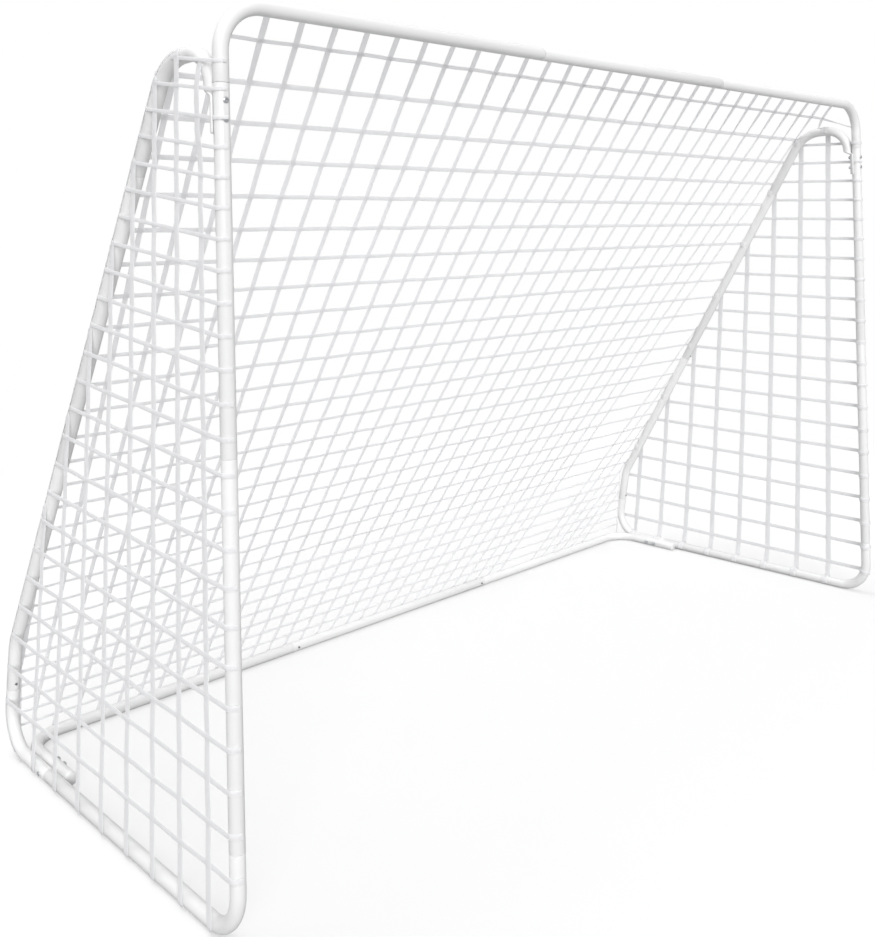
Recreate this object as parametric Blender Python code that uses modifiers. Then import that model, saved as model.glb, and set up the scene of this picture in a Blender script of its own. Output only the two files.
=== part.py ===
"""Portable football goal, 3.00 m wide and 2.00 m high: a swaged steel tube frame with a square-mesh net.

Metres, +Z up, +X along the crossbar, +Y from the mouth to the back. The origin is on the ground, under
the middle of the goal. Each tube slides over the spigot of the next, and spring buttons lock the joints
that are taken apart most often.
"""

import math

import bmesh
import bpy
from mathutils import Euler, Matrix, Vector

# Driving dimensions of the frame

WIDTH = 3.000
HEIGHT = 2.000
TUBE_DIAMETER = 0.035
TUBE_WALL = 0.0015
FRONT_CORNER_RADIUS = 0.105
REAR_CORNER_RADIUS = 0.098
KNEE_RADIUS = 0.150
KNEE_HEIGHT = 0.305
STAY_FOOT_DEPTH = 1.372
LEG_LEAN = math.radians(10.2)
ARC_DROP = 0.0927
ARC_SHOULDER_DEPTH = 0.2242
ARC_SHOULDER_RADIUS = 0.130
ARC_FRONT_RADIUS = 0.088
REAR_BAR_SETBACK = 0.0066
REAR_BAR_CORNER_RADIUS = 0.100

# Where the tubes are divided: distances from the nearest bend or bolt, or heights over the ground bar

POST_TOP_DROP = 0.066
POST_MIDDLE_SEAM = 1.010
POST_FOOT_RISE = 0.085
STAY_TOP_DROP = 0.246
STAY_BUTTON_HEIGHT = 0.903
LEG_BUTTON_HEIGHT = 0.188
GROUND_SEAM_LEAD = 0.030
TAIL_LEAD = 0.095
CROSSBAR_SEAM_SHARE = 0.345
REAR_BAR_SEAM_SHARE = 1 / 3

# Swaged joints and fits

CLEARANCE = 0.0003
SPIGOT_LENGTH = 0.060
NECK_LENGTH = 0.002
BUTTON_SETBACK = 0.022

# Spring buttons

BUTTON_DIAMETER = 0.007
BUTTON_STAND = 0.0035
SPRING_WIDTH = 0.008
SPRING_THICKNESS = 0.0008
SPRING_BACK = 0.006
SPRING_REACH = 0.020

# Bolts and nuts

BOLT_DIAMETER = 0.008
BOLT_HEAD_DIAMETER = 0.014
BOLT_HEAD_HEIGHT = 0.003
BOLT_END = 0.002
NUT_ACROSS_FLATS = 0.013
NUT_HEIGHT = 0.0065
BOLT_SPACING = 0.040
LEG_BOLT_DROP = 0.009
TAIL_BOLT_LEAD = 0.080

# The pressed end of the arc, which cradles the post

SADDLE_THICKNESS = 0.0065
SADDLE_LEAD = 0.001
SADDLE_BLEND = 0.018
SADDLE_TAIL = 0.027

# Net

NET_THICKNESS = 0.003
NET_STRAND = 0.010
NET_BORDER = 0.010
NET_PITCH = 0.210
NET_FOOT = 0.0095
LEAST_GAP_SHARE = 0.02

# Fineness of the round shapes

TUBE_SIDES = 16
BEND_STEP = math.radians(18)
SADDLE_STEPS = 3
ROUND_STEPS = 10
CORNER_STEPS = 3

# Values that follow from the ones above

TUBE_RADIUS = TUBE_DIAMETER / 2
FLAT_SHARE = math.cos(math.pi / TUBE_SIDES)
TUBE_FLAT = TUBE_RADIUS * FLAT_SHARE
HALF_SPAN = WIDTH / 2 - TUBE_RADIUS
BAR_HEIGHT = HEIGHT - 2 * TUBE_FLAT
BORE_RADIUS = TUBE_RADIUS - TUBE_WALL
SPIGOT_RADIUS = BORE_RADIUS - CLEARANCE
SPIGOT_BORE = (SPIGOT_RADIUS - TUBE_WALL) * FLAT_SHARE
LEG_OFFSET = 2 * TUBE_RADIUS + CLEARANCE
NET_OFFSET = TUBE_RADIUS + CLEARANCE + NET_THICKNESS / 2
ARC_HEIGHT = BAR_HEIGHT - ARC_DROP
SHOULDER = Vector((ARC_SHOULDER_DEPTH, ARC_HEIGHT))
STAY_LEAN = math.atan((STAY_FOOT_DEPTH - ARC_SHOULDER_DEPTH) / ARC_HEIGHT)
STAY_UP = Vector((-math.sin(STAY_LEAN), math.cos(STAY_LEAN)))
LEG_UP = Vector((-math.sin(LEG_LEAN), math.cos(LEG_LEAN)))
KNEE = Vector((STAY_FOOT_DEPTH - KNEE_HEIGHT * math.tan(STAY_LEAN), KNEE_HEIGHT))
REAR_CORNER = Vector((KNEE.x + KNEE.y * math.tan(LEG_LEAN), 0))
REAR_BEND_DEPTH = REAR_CORNER.x - REAR_CORNER_RADIUS / math.tan((math.pi / 2 - LEG_LEAN) / 2)
REAR_BAR_DEPTH = REAR_BEND_DEPTH + REAR_CORNER_RADIUS - REAR_BAR_SETBACK
REAR_TAIL_BOLT = REAR_BAR_DEPTH - REAR_BAR_CORNER_RADIUS - TAIL_BOLT_LEAD
FRONT_TAIL_BOLT = REAR_TAIL_BOLT - BOLT_SPACING
GROUND_SEAM_DEPTH = FRONT_TAIL_BOLT - GROUND_SEAM_LEAD
TAIL_END_DEPTH = FRONT_TAIL_BOLT - TAIL_LEAD
POST_TOP_SEAM = BAR_HEIGHT - FRONT_CORNER_RADIUS - POST_TOP_DROP
POST_FOOT_SEAM = FRONT_CORNER_RADIUS + POST_FOOT_RISE
STAY_TOP_SEAM = ARC_HEIGHT - STAY_TOP_DROP
SADDLE_TOP = ARC_HEIGHT - ARC_FRONT_RADIUS - SADDLE_LEAD
HIGH_LEG_BOLT = SADDLE_TOP - SADDLE_BLEND - LEG_BOLT_DROP
LOW_LEG_BOLT = HIGH_LEG_BOLT - BOLT_SPACING
ARC_LEG_END = LOW_LEG_BOLT - SADDLE_TAIL


def stay_point(height):
    """Point (depth, height) on the axis of the sloping stay."""
    return Vector((STAY_FOOT_DEPTH - height * math.tan(STAY_LEAN), height))


def leg_point(height):
    """Point (depth, height) on the axis of the short rear leg."""
    return Vector((REAR_CORNER.x - height * math.tan(LEG_LEAN), height))


def outward(up):
    """Normal of a sloping line in the side plane, pointing backwards and up."""
    return Vector((up.y, -up.x))


def crossing(point_a, along_a, point_b, along_b):
    """Where two lines of the side plane cross."""
    gap = point_b - point_a
    turn = along_a.x * along_b.y - along_a.y * along_b.x
    return point_a + along_a * ((gap.x * along_b.y - gap.y * along_b.x) / turn)


def bend(before, corner, after, radius):
    """Points of the arc that rounds a corner of a path, in steps of BEND_STEP or less."""
    back = (before - corner).normalized()
    on = (after - corner).normalized()
    turn = math.pi - back.angle(on)
    reach = radius * math.tan(turn / 2)
    centre = corner + (back + on).normalized() * (radius / math.cos(turn / 2))
    start = corner + back * reach - centre
    side = 1 if back.x * on.y - back.y * on.x < 0 else -1
    steps = max(2, math.ceil(turn / BEND_STEP))
    points = []
    for step in range(steps + 1):
        angle = side * turn * step / steps
        cosine, sine = math.cos(angle), math.sin(angle)
        points.append(centre + Vector((start.x * cosine - start.y * sine, start.x * sine + start.y * cosine)))
    return points


def rounded(corners, radii):
    """Path through the corners, each inner one rounded to its own radius."""
    path = [Vector(corners[0])]
    for before, corner, after, radius in zip(corners, corners[1:], corners[2:], radii):
        path += bend(Vector(before), Vector(corner), Vector(after), radius)
    path.append(Vector(corners[-1]))
    return path


def common_tangent(centre_a, radius_a, centre_b, radius_b):
    """Points where a line lies on two circles, above and behind both."""
    apart = centre_b - centre_a
    turn = math.asin((radius_b - radius_a) / apart.length)
    along = apart.normalized()
    normal = Vector((-along.y, along.x)) * math.cos(turn) - along * math.sin(turn)
    return centre_a + normal * radius_a, centre_b + normal * radius_b


def shoulder_centre():
    """Centre (depth, height) of the arc's rear bend."""
    tangent = ARC_SHOULDER_RADIUS * math.tan((math.pi / 2 - STAY_LEAN) / 2)
    return Vector((SHOULDER.x - tangent, ARC_HEIGHT - ARC_SHOULDER_RADIUS))


def net_profile():
    """Corners (depth, height) of the back net's mid-plane, from the crossbar down to the rear bar."""
    stay_line = stay_point(0) + outward(STAY_UP) * NET_OFFSET
    leg_line = leg_point(0) + outward(LEG_UP) * NET_OFFSET
    bar, roof = common_tangent(
        Vector((0, BAR_HEIGHT)), NET_OFFSET, shoulder_centre(), ARC_SHOULDER_RADIUS + NET_OFFSET
    )
    top = crossing(bar, roof - bar, stay_line, STAY_UP)
    knee = crossing(stay_line, STAY_UP, leg_line, LEG_UP)
    foot = common_tangent(knee, 0, Vector((REAR_BAR_DEPTH, 0)), NET_OFFSET)[1]
    return bar, top, knee, foot


# The frame's front and back faces, which place its middle over the origin

REAR_BEND = bend(Vector((0, 0)), REAR_CORNER, KNEE, REAR_CORNER_RADIUS)
FRONT_FACE = -(TUBE_FLAT + CLEARANCE + BOLT_HEAD_HEIGHT)
BACK_FACE = max(point.x for point in REAR_BEND) + TUBE_FLAT
MIDDLE_DEPTH = (FRONT_FACE + BACK_FACE) / 2


def in_side_plane(x):
    """Placement that lays a shape drawn as (depth, height) in the side plane at x."""
    place = Matrix.Translation((x, -MIDDLE_DEPTH, TUBE_FLAT))
    return place @ Euler((math.pi / 2, 0, math.pi / 2)).to_matrix().to_4x4()


def world(x, depth, height):
    """World position of a point given from the posts and the ground bars' axes."""
    return Vector((x, depth - MIDDLE_DEPTH, height + TUBE_FLAT))


# Scene, materials and plain shapes


def clear_scene():
    for obj in list(bpy.data.objects):
        bpy.data.objects.remove(obj, do_unlink=True)


def add_collection(name):
    group = bpy.data.collections.new(name)
    bpy.context.scene.collection.children.link(group)
    return group


def add_material(name, colour, roughness, metallic):
    material = bpy.data.materials.new(name)
    material.use_nodes = True
    shader = material.node_tree.nodes["Principled BSDF"]
    shader.inputs["Base Color"].default_value = (*colour, 1)
    shader.inputs["Roughness"].default_value = roughness
    shader.inputs["Metallic"].default_value = metallic
    return material


clear_scene()
GOAL = add_collection("portable_goal")
CUTTERS = add_collection("cutters")
FINISHES = {
    "paint": ((0.82, 0.82, 0.83), 0.32, 0.0),
    "zinc": ((0.62, 0.62, 0.64), 0.35, 0.9),
    "spring_steel": ((0.45, 0.46, 0.48), 0.30, 1.0),
    "twine": ((0.74, 0.74, 0.74), 0.85, 0.0),
}


def finish(obj, finish_name):
    """Give an object its own material, smooth round faces and a place among the goal's pieces."""
    colour, roughness, metallic = FINISHES[finish_name]
    obj.data.materials.clear()
    obj.data.materials.append(add_material(f"{obj.name}_{finish_name}", colour, roughness, metallic))
    obj.data.shade_smooth()
    obj.data.set_sharp_from_angle(angle=math.radians(35))
    return obj


def add_object(name, mesh, placement, group=GOAL):
    obj = bpy.data.objects.new(name, mesh)
    obj.matrix_world = placement
    group.objects.link(obj)
    return obj


def made_mesh(curve_object):
    """Turn a curve object into a mesh object of the same name and place, with its seams welded."""
    bpy.context.view_layer.update()
    graph = bpy.context.evaluated_depsgraph_get()
    mesh = bpy.data.meshes.new_from_object(curve_object.evaluated_get(graph))
    placement = curve_object.matrix_world.copy()
    name = curve_object.name
    bpy.data.objects.remove(curve_object, do_unlink=True)
    shape = bmesh.new()
    shape.from_mesh(mesh)
    bmesh.ops.remove_doubles(shape, verts=shape.verts, dist=1e-6)
    shape.to_mesh(mesh)
    shape.free()
    return add_object(name, mesh, placement)


def cylinder_cutter(name, radius, length, placement):
    """Cylinder about the placement's Z axis, from its origin up."""
    mesh = bpy.data.meshes.new(name)
    shape = bmesh.new()
    bmesh.ops.create_cone(
        shape,
        cap_ends=True,
        segments=ROUND_STEPS,
        radius1=radius,
        radius2=radius,
        depth=length,
        matrix=Matrix.Translation((0, 0, length / 2)),
    )
    shape.to_mesh(mesh)
    shape.free()
    cutter = add_object(name, mesh, placement, CUTTERS)
    cutter.hide_render = True
    cutter.display_type = "WIRE"
    return cutter


def cut(obj, cutter):
    modifier = obj.modifiers.new(cutter.name, "BOOLEAN")
    modifier.operation = "DIFFERENCE"
    modifier.object = cutter


def join(obj, other):
    """Fuse another shape, kept among the cutters, into this object."""
    GOAL.objects.unlink(other)
    CUTTERS.objects.link(other)
    other.hide_render = True
    other.display_type = "WIRE"
    modifier = obj.modifiers.new(other.name, "BOOLEAN")
    modifier.operation = "UNION"
    modifier.object = other


def turned(name, profile, placement):
    """Solid of revolution about the placement's Z axis, from a profile that runs from top to bottom."""
    mesh = bpy.data.meshes.new(name)
    shape = bmesh.new()
    points = [shape.verts.new((radius, 0, height)) for radius, height in profile]
    for start, end in zip(points, points[1:]):
        shape.edges.new((start, end))
    shape.to_mesh(mesh)
    shape.free()
    obj = add_object(name, mesh, placement)
    screw = obj.modifiers.new("turn", "SCREW")
    screw.steps = ROUND_STEPS
    screw.render_steps = ROUND_STEPS
    screw.use_merge_vertices = True
    screw.merge_threshold = 1e-6
    screw.use_smooth_shade = False
    return obj


def flat_piece(name, outlines, thickness, placement):
    """Plate from closed outlines in the placement's XY plane: the first is its edge, the others holes."""
    curve = bpy.data.curves.new(name, "CURVE")
    curve.dimensions = "2D"
    curve.fill_mode = "BOTH"
    curve.extrude = thickness / 2
    for outline in outlines:
        spline = curve.splines.new("POLY")
        spline.points.add(len(outline) - 1)
        for point, (x, y) in zip(spline.points, outline):
            point.co = (x, y, 0, 1)
        spline.use_cyclic_u = True
    return made_mesh(add_object(name, curve, placement))


# Tubes


def with_ends(path, spigot_at_start, spigot_at_end):
    """Path points paired with tube radii: a spigot runs on past the seam, a plain mouth stops short of it."""
    stations = [(point, TUBE_RADIUS) for point in path]

    def ended(stations, spigot):
        seam, inner = stations[-1][0], stations[-2][0]
        along = (seam - inner).normalized()
        if not spigot:
            return stations[:-1] + [(seam - along * CLEARANCE, TUBE_RADIUS)]
        return stations[:-1] + [
            (seam - along * NECK_LENGTH, TUBE_RADIUS),
            (seam, SPIGOT_RADIUS),
            (seam + along * SPIGOT_LENGTH, SPIGOT_RADIUS),
        ]

    stations = ended(stations, spigot_at_end)
    stations = ended(stations[::-1], spigot_at_start)[::-1]
    return stations


def tube(name, path, placement, spigot_at_start=False, spigot_at_end=False):
    """Hollow tube along a path of the placement's XY plane, open at both ends."""
    stations = with_ends(path, spigot_at_start, spigot_at_end)
    curve = bpy.data.curves.new(name, "CURVE")
    curve.dimensions = "3D"
    curve.twist_mode = "Z_UP"
    curve.bevel_depth = 1.0
    curve.bevel_resolution = (TUBE_SIDES - 4) // 2
    curve.use_fill_caps = False
    spline = curve.splines.new("POLY")
    spline.points.add(len(stations) - 1)
    for point, (place, radius) in zip(spline.points, stations):
        point.co = (place.x, place.y, 0, 1)
        point.radius = radius
        point.tilt = math.pi / TUBE_SIDES
    obj = made_mesh(add_object(name, curve, placement))
    add_wall(obj)
    return finish(obj, "paint")


def add_wall(obj):
    wall = obj.modifiers.new("wall", "SOLIDIFY")
    wall.thickness = TUBE_WALL
    wall.offset = -1
    wall.use_even_offset = True


def front_plane():
    """Placement that lays a shape drawn as (x, height) in the plane of the goal mouth."""
    return Matrix.Translation(world(0, 0, 0)) @ Euler((math.pi / 2, 0, 0)).to_matrix().to_4x4()


def ground_plane():
    """Placement that lays a shape drawn as (x, depth) at the ground bars' axes."""
    return Matrix.Translation(world(0, 0, 0))


def make_crossbar():
    """Crossbar in three pieces, the outer two bent down into the post tops."""
    seam = HALF_SPAN * (1 - 2 * CROSSBAR_SEAM_SHARE)
    for side, sign in SIDES.items():
        corners = [
            Vector((sign * seam, BAR_HEIGHT)),
            Vector((sign * HALF_SPAN, BAR_HEIGHT)),
            Vector((sign * HALF_SPAN, POST_TOP_SEAM)),
        ]
        path = rounded(corners, [FRONT_CORNER_RADIUS])
        tube(f"crossbar_corner_{side}", path, front_plane(), True, False)
    middle = [Vector((-seam, BAR_HEIGHT)), Vector((seam, BAR_HEIGHT))]
    tube("crossbar_middle", middle, front_plane())


def make_post(side, x):
    """Post in two lengths above the bent front foot, each with its spigot at the top."""
    lower = [Vector((0, POST_FOOT_SEAM)), Vector((0, POST_MIDDLE_SEAM))]
    upper = [Vector((0, POST_MIDDLE_SEAM)), Vector((0, POST_TOP_SEAM))]
    tube(f"post_lower_{side}", lower, in_side_plane(x), False, True)
    return tube(f"post_upper_{side}", upper, in_side_plane(x), False, True)


def make_front_foot(side, x):
    """Front part of the side's ground bar, bent up into the post."""
    corners = [
        Vector((GROUND_SEAM_DEPTH, 0)),
        Vector((0, 0)),
        Vector((0, POST_FOOT_SEAM)),
    ]
    path = rounded(corners, [FRONT_CORNER_RADIUS])
    return tube(f"front_foot_{side}", path, in_side_plane(x), False, True)


def make_rear_foot(side, x):
    """Rear part of the ground bar, bent up into the short leg, with a spigot at each end."""
    seam = leg_point(LEG_BUTTON_HEIGHT) - LEG_UP * BUTTON_SETBACK
    corners = [Vector((GROUND_SEAM_DEPTH, 0)), REAR_CORNER, seam]
    path = rounded(corners, [REAR_CORNER_RADIUS])
    return tube(f"rear_foot_{side}", path, in_side_plane(x), True, True)


def make_stay(side, x):
    """Lower stay with its knee, and the straight upper stay."""
    foot = leg_point(LEG_BUTTON_HEIGHT) - LEG_UP * BUTTON_SETBACK
    middle = stay_point(STAY_BUTTON_HEIGHT) - STAY_UP * BUTTON_SETBACK
    top = stay_point(STAY_TOP_SEAM)
    lower = tube(
        f"stay_lower_{side}", rounded([foot, KNEE, middle], [KNEE_RADIUS]), in_side_plane(x), False, True
    )
    upper = tube(f"stay_upper_{side}", [middle, top], in_side_plane(x), False, True)
    return lower, upper


def round_section():
    """Section of the plain tube as (across, outwards from the arc), one point for each of its sides."""
    facet = 2 * math.pi / TUBE_SIDES
    angles = [facet * (index + 0.5) for index in range(TUBE_SIDES)]
    return [Vector((math.cos(angle), math.sin(angle))) * TUBE_RADIUS for angle in angles]


def saddle_section():
    """Section of the pressed end as (across, depth): along the post's facets, then back further out."""
    facet = 2 * math.pi / TUBE_SIDES
    half = TUBE_SIDES // 2
    inner = TUBE_RADIUS + CLEARANCE
    angles = [((half - 1) / 2 - index) * facet for index in range(half)]
    near = [Vector((math.sin(angle), math.cos(angle))) * inner for angle in angles]
    far = [point * (inner + SADDLE_THICKNESS) / inner for point in reversed(near)]
    return near + far


def arc_stations():
    """Places (depth, height) and up directions along the arc, from the stay seam to the leg's end."""
    corners = [
        stay_point(STAY_TOP_SEAM) + STAY_UP * CLEARANCE,
        SHOULDER,
        Vector((LEG_OFFSET, ARC_HEIGHT)),
        Vector((LEG_OFFSET, SADDLE_TOP)),
    ]
    path = rounded(corners, [ARC_SHOULDER_RADIUS, ARC_FRONT_RADIUS])
    stations = []
    for index, place in enumerate(path):
        before = path[max(index - 1, 0)]
        after = path[min(index + 1, len(path) - 1)]
        along = (after - before).normalized()
        stations.append((place, Vector((along.y, -along.x))))
    return stations


def make_arc(side, x):
    """Round arc over the top of the stay, its front leg pressed into a saddle that cradles the post."""
    mesh = bpy.data.meshes.new(f"arc_{side}")
    shape = bmesh.new()
    rings = []
    for place, out in arc_stations():
        ring = []
        for across, over in round_section():
            point = place + out * over
            ring.append(shape.verts.new((across, point.x, point.y)))
        rings.append(ring)
    plain = [Vector((across, LEG_OFFSET - over)) for across, over in round_section()]
    blends = [step / SADDLE_STEPS for step in range(1, SADDLE_STEPS + 1)]
    levels = [(SADDLE_TOP - SADDLE_BLEND * blend, blend * blend * (3 - 2 * blend)) for blend in blends]
    for height, share in levels + [(ARC_LEG_END, 1)]:
        section = [start.lerp(end, share) for start, end in zip(plain, saddle_section())]
        rings.append([shape.verts.new((across, depth, height)) for across, depth in section])
    for ring, following in zip(rings, rings[1:]):
        for index in range(TUBE_SIDES):
            turn = (index + 1) % TUBE_SIDES
            shape.faces.new((ring[index], ring[turn], following[turn], following[index]))
    bmesh.ops.recalc_face_normals(shape, faces=shape.faces)
    shape.to_mesh(mesh)
    shape.free()
    arc = add_object(f"arc_{side}", mesh, Matrix.Translation(world(x, 0, 0)))
    add_wall(arc)
    return finish(arc, "paint")


def make_rear_bar():
    """Rear bar in three pieces, the outer two bent forward to lie along the side ground bars."""
    seam = HALF_SPAN * (1 - 2 * REAR_BAR_SEAM_SHARE)
    tail = HALF_SPAN - 2 * TUBE_RADIUS - CLEARANCE
    pieces = {}
    for side, sign in SIDES.items():
        corners = [
            Vector((sign * seam, REAR_BAR_DEPTH)),
            Vector((sign * tail, REAR_BAR_DEPTH)),
            Vector((sign * tail, TAIL_END_DEPTH)),
        ]
        path = rounded(corners, [REAR_BAR_CORNER_RADIUS])
        pieces[side] = tube(f"rear_bar_{side}", path, ground_plane(), True, False)
    middle = [Vector((-seam, REAR_BAR_DEPTH)), Vector((seam, REAR_BAR_DEPTH))]
    pieces["middle"] = tube("rear_bar_middle", middle, ground_plane())
    return pieces


# Bolts and nuts


def aimed(origin, direction, along=None):
    """Placement with Z along a direction and X as near as may be to another."""
    z_axis = direction.normalized()
    hint = along if along is not None else z_axis.orthogonal()
    y_axis = z_axis.cross(hint).normalized()
    x_axis = y_axis.cross(z_axis)
    turn = Matrix((x_axis, y_axis, z_axis)).transposed().to_4x4()
    return Matrix.Translation(origin) @ turn


def bolt_and_nut(name, seat, direction, grip, along, clamped):
    """Round-headed bolt whose head lies on seat, through what it clamps, with its nut past the grip."""
    shank = BOLT_DIAMETER / 2
    head = BOLT_HEAD_DIAMETER / 2
    length = grip + NUT_HEIGHT + BOLT_END + 2 * CLEARANCE
    profile = [
        (0, BOLT_HEAD_HEIGHT),
        (0.45 * head, 0.92 * BOLT_HEAD_HEIGHT),
        (0.80 * head, 0.60 * BOLT_HEAD_HEIGHT),
        (head, 0),
        (shank, 0),
        (shank, -length),
        (0, -length),
    ]
    placement = aimed(seat - direction * CLEARANCE, -direction, along)
    finish(turned(f"bolt_{name}", profile, placement), "zinc")
    nut_place = aimed(seat + direction * (grip + CLEARANCE + NUT_HEIGHT / 2), direction, along)
    corner_radius = NUT_ACROSS_FLATS / math.sqrt(3)
    hexagon = [
        (corner_radius * math.cos(math.pi / 3 * step), corner_radius * math.sin(math.pi / 3 * step))
        for step in range(6)
    ]
    hole_radius = shank + CLEARANCE
    hole = [
        (hole_radius * math.cos(2 * math.pi * step / ROUND_STEPS),
         hole_radius * math.sin(2 * math.pi * step / ROUND_STEPS))
        for step in range(ROUND_STEPS)
    ]
    finish(flat_piece(f"nut_{name}", [hexagon, hole], NUT_HEIGHT, nut_place), "zinc")
    start = aimed(seat - direction * BOLT_HEAD_HEIGHT, direction, along)
    cutter = cylinder_cutter(f"{name}_hole", hole_radius, grip + 2 * BOLT_HEAD_HEIGHT, start)
    for obj in clamped:
        cut(obj, cutter)


def make_leg_bolts(side, x, post, arc):
    """Two bolts from the front of the post through the pressed end of the arc."""
    grip = TUBE_FLAT + (TUBE_RADIUS + CLEARANCE + SADDLE_THICKNESS) * FLAT_SHARE
    for place, height in (("low", LOW_LEG_BOLT), ("high", HIGH_LEG_BOLT)):
        seat = world(x, -TUBE_FLAT, height)
        bolt_and_nut(f"leg_{place}_{side}", seat, Vector((0, 1, 0)), grip, Vector((0, 0, 1)), (post, arc))


def make_tail_bolts(side, x, foot, bar):
    """Two bolts from the outer face of the ground bar through the bar's tail beside it."""
    sign = SIDES[side]
    grip = 2 * TUBE_FLAT + 2 * TUBE_RADIUS + CLEARANCE
    for place, depth in (("front", FRONT_TAIL_BOLT), ("rear", REAR_TAIL_BOLT)):
        seat = world(x + sign * TUBE_FLAT, depth, 0)
        bolt_and_nut(
            f"tail_{place}_{side}", seat, Vector((-sign, 0, 0)), grip, Vector((0, 0, 1)), (foot, bar)
        )


# Spring buttons


def leaf(name, path, placement):
    """Strip of spring steel along a path drawn as (reach, height), as wide as SPRING_WIDTH."""
    mesh = bpy.data.meshes.new(name)
    shape = bmesh.new()
    points = [shape.verts.new((reach, -SPRING_WIDTH / 2, height)) for reach, height in path]
    edges = [shape.edges.new(pair) for pair in zip(points, points[1:])]
    swept = bmesh.ops.extrude_edge_only(shape, edges=edges)["geom"]
    moved = [item for item in swept if isinstance(item, bmesh.types.BMVert)]
    bmesh.ops.translate(shape, verts=moved, vec=(0, SPRING_WIDTH, 0))
    bmesh.ops.recalc_face_normals(shape, faces=shape.faces)
    shape.to_mesh(mesh)
    shape.free()
    obj = add_object(name, mesh, placement)
    wall = obj.modifiers.new("gauge", "SOLIDIFY")
    wall.thickness = SPRING_THICKNESS
    wall.offset = 0
    return obj


def make_button(name, axis_point, outwards, along, tubes):
    """Button in its two holes, riveted to the upper arm of a leaf spring that is split at its bend."""
    placement = aimed(axis_point, outwards, along)
    half_width = SPRING_WIDTH / 2
    arm = math.sqrt(SPIGOT_BORE**2 - half_width**2) - CLEARANCE - SPRING_THICKNESS / 2
    pin = BUTTON_DIAMETER / 2
    top = TUBE_RADIUS + BUTTON_STAND
    profile = [
        (0, top),
        (0.6 * pin, top - 0.15 * BUTTON_STAND),
        (pin, top - 0.5 * BUTTON_STAND),
        (pin, arm),
        (0, arm),
    ]
    button = turned(f"button_{name}", profile, placement)

    def bow(start, end, steps):
        angles = [math.radians(start + (end - start) * step / steps) for step in range(steps + 1)]
        return [(SPRING_REACH + 0.6 * arm * math.cos(angle), arm * math.sin(angle)) for angle in angles]

    join(button, leaf(f"{name}_upper_arm", [(-SPRING_BACK, arm)] + bow(90, 50, 2), placement))
    finish(button, "spring_steel")
    lower = leaf(f"button_spring_{name}", bow(5, -90, 4) + [(-SPRING_BACK, -arm)], placement)
    finish(lower, "spring_steel")
    hole = cylinder_cutter(
        f"{name}_hole", pin + CLEARANCE, TUBE_DIAMETER, placement @ Matrix.Translation((0, 0, arm / 2))
    )
    for obj in tubes:
        cut(obj, hole)
    axle = bpy.data.objects.new(f"{name}_axis", None)
    axle.matrix_world = placement
    axle.empty_display_size = 0.03
    GOAL.objects.link(axle)
    button.parent = axle
    button.matrix_parent_inverse = placement.inverted()


def make_side_buttons(side, x, rear_foot, stay_lower, stay_upper):
    """Buttons on the front of the stay: at the short leg's seam and at mid height."""
    for place, point, up, tubes in (
        ("leg", leg_point(LEG_BUTTON_HEIGHT), LEG_UP, (rear_foot, stay_lower)),
        ("stay", stay_point(STAY_BUTTON_HEIGHT), STAY_UP, (stay_lower, stay_upper)),
    ):
        forward = -outward(up)
        make_button(
            f"{place}_{side}",
            world(x, point.x, point.y),
            Vector((0, forward.x, forward.y)),
            Vector((0, -up.x, -up.y)),
            tubes,
        )


def make_rear_bar_buttons(pieces):
    """Buttons on the front of the rear bar, just inside each seam of its middle piece."""
    seam = HALF_SPAN * (1 - 2 * REAR_BAR_SEAM_SHARE)
    for side, sign in SIDES.items():
        point = world(sign * (seam - BUTTON_SETBACK), REAR_BAR_DEPTH, 0)
        make_button(
            f"bar_{side}",
            point,
            Vector((0, -1, 0)),
            Vector((sign, 0, 0)),
            (pieces["middle"], pieces[side]),
        )


# Net


def clip(polygon, point, inward):
    """Part of a convex polygon on the inward side of a line."""
    kept = []
    for start, end in zip(polygon, polygon[1:] + polygon[:1]):
        depth_start = (start - point).dot(inward)
        depth_end = (end - point).dot(inward)
        if depth_start >= 0:
            kept.append(start)
        if depth_start * depth_end < 0:
            kept.append(start.lerp(end, depth_start / (depth_start - depth_end)))
    return kept


def area(polygon):
    total = 0
    for start, end in zip(polygon, polygon[1:] + polygon[:1]):
        total += start.x * end.y - start.y * end.x
    return abs(total) / 2


def divided(low, high, pitch):
    """Even divisions of a length, each as near as may be to the pitch."""
    count = max(1, round((high - low) / pitch))
    return [low + (high - low) * step / count for step in range(count + 1)]


def net_panel(name, outline, placement):
    """Flat net inside a convex outline that runs anticlockwise: a border strand and a square mesh."""
    outline = [Vector(point) for point in outline]
    columns = divided(min(p.x for p in outline), max(p.x for p in outline), NET_PITCH)
    rows = divided(min(p.y for p in outline), max(p.y for p in outline), NET_PITCH)
    half = NET_STRAND / 2
    gaps = []
    for left, right in zip(columns, columns[1:]):
        for low, high in zip(rows, rows[1:]):
            gap = [
                Vector((left + half, low + half)),
                Vector((right - half, low + half)),
                Vector((right - half, high - half)),
                Vector((left + half, high - half)),
            ]
            whole = area(gap)
            for start, end in zip(outline, outline[1:] + outline[:1]):
                along = (end - start).normalized()
                inward = Vector((-along.y, along.x))
                gap = clip(gap, start + inward * NET_BORDER, inward)
                if not gap:
                    break
            if gap and area(gap) > LEAST_GAP_SHARE * whole:
                gaps.append(gap)
    return finish(flat_piece(name, [outline] + gaps, NET_THICKNESS, placement), "twine")


def swept(centre, radius, start, end):
    """Points round part of a circle, anticlockwise from one angle to another."""
    angles = [start + (end - start) * step / CORNER_STEPS for step in range(CORNER_STEPS + 1)]
    return [centre + Vector((math.cos(angle), math.sin(angle))) * radius for angle in angles]


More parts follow.
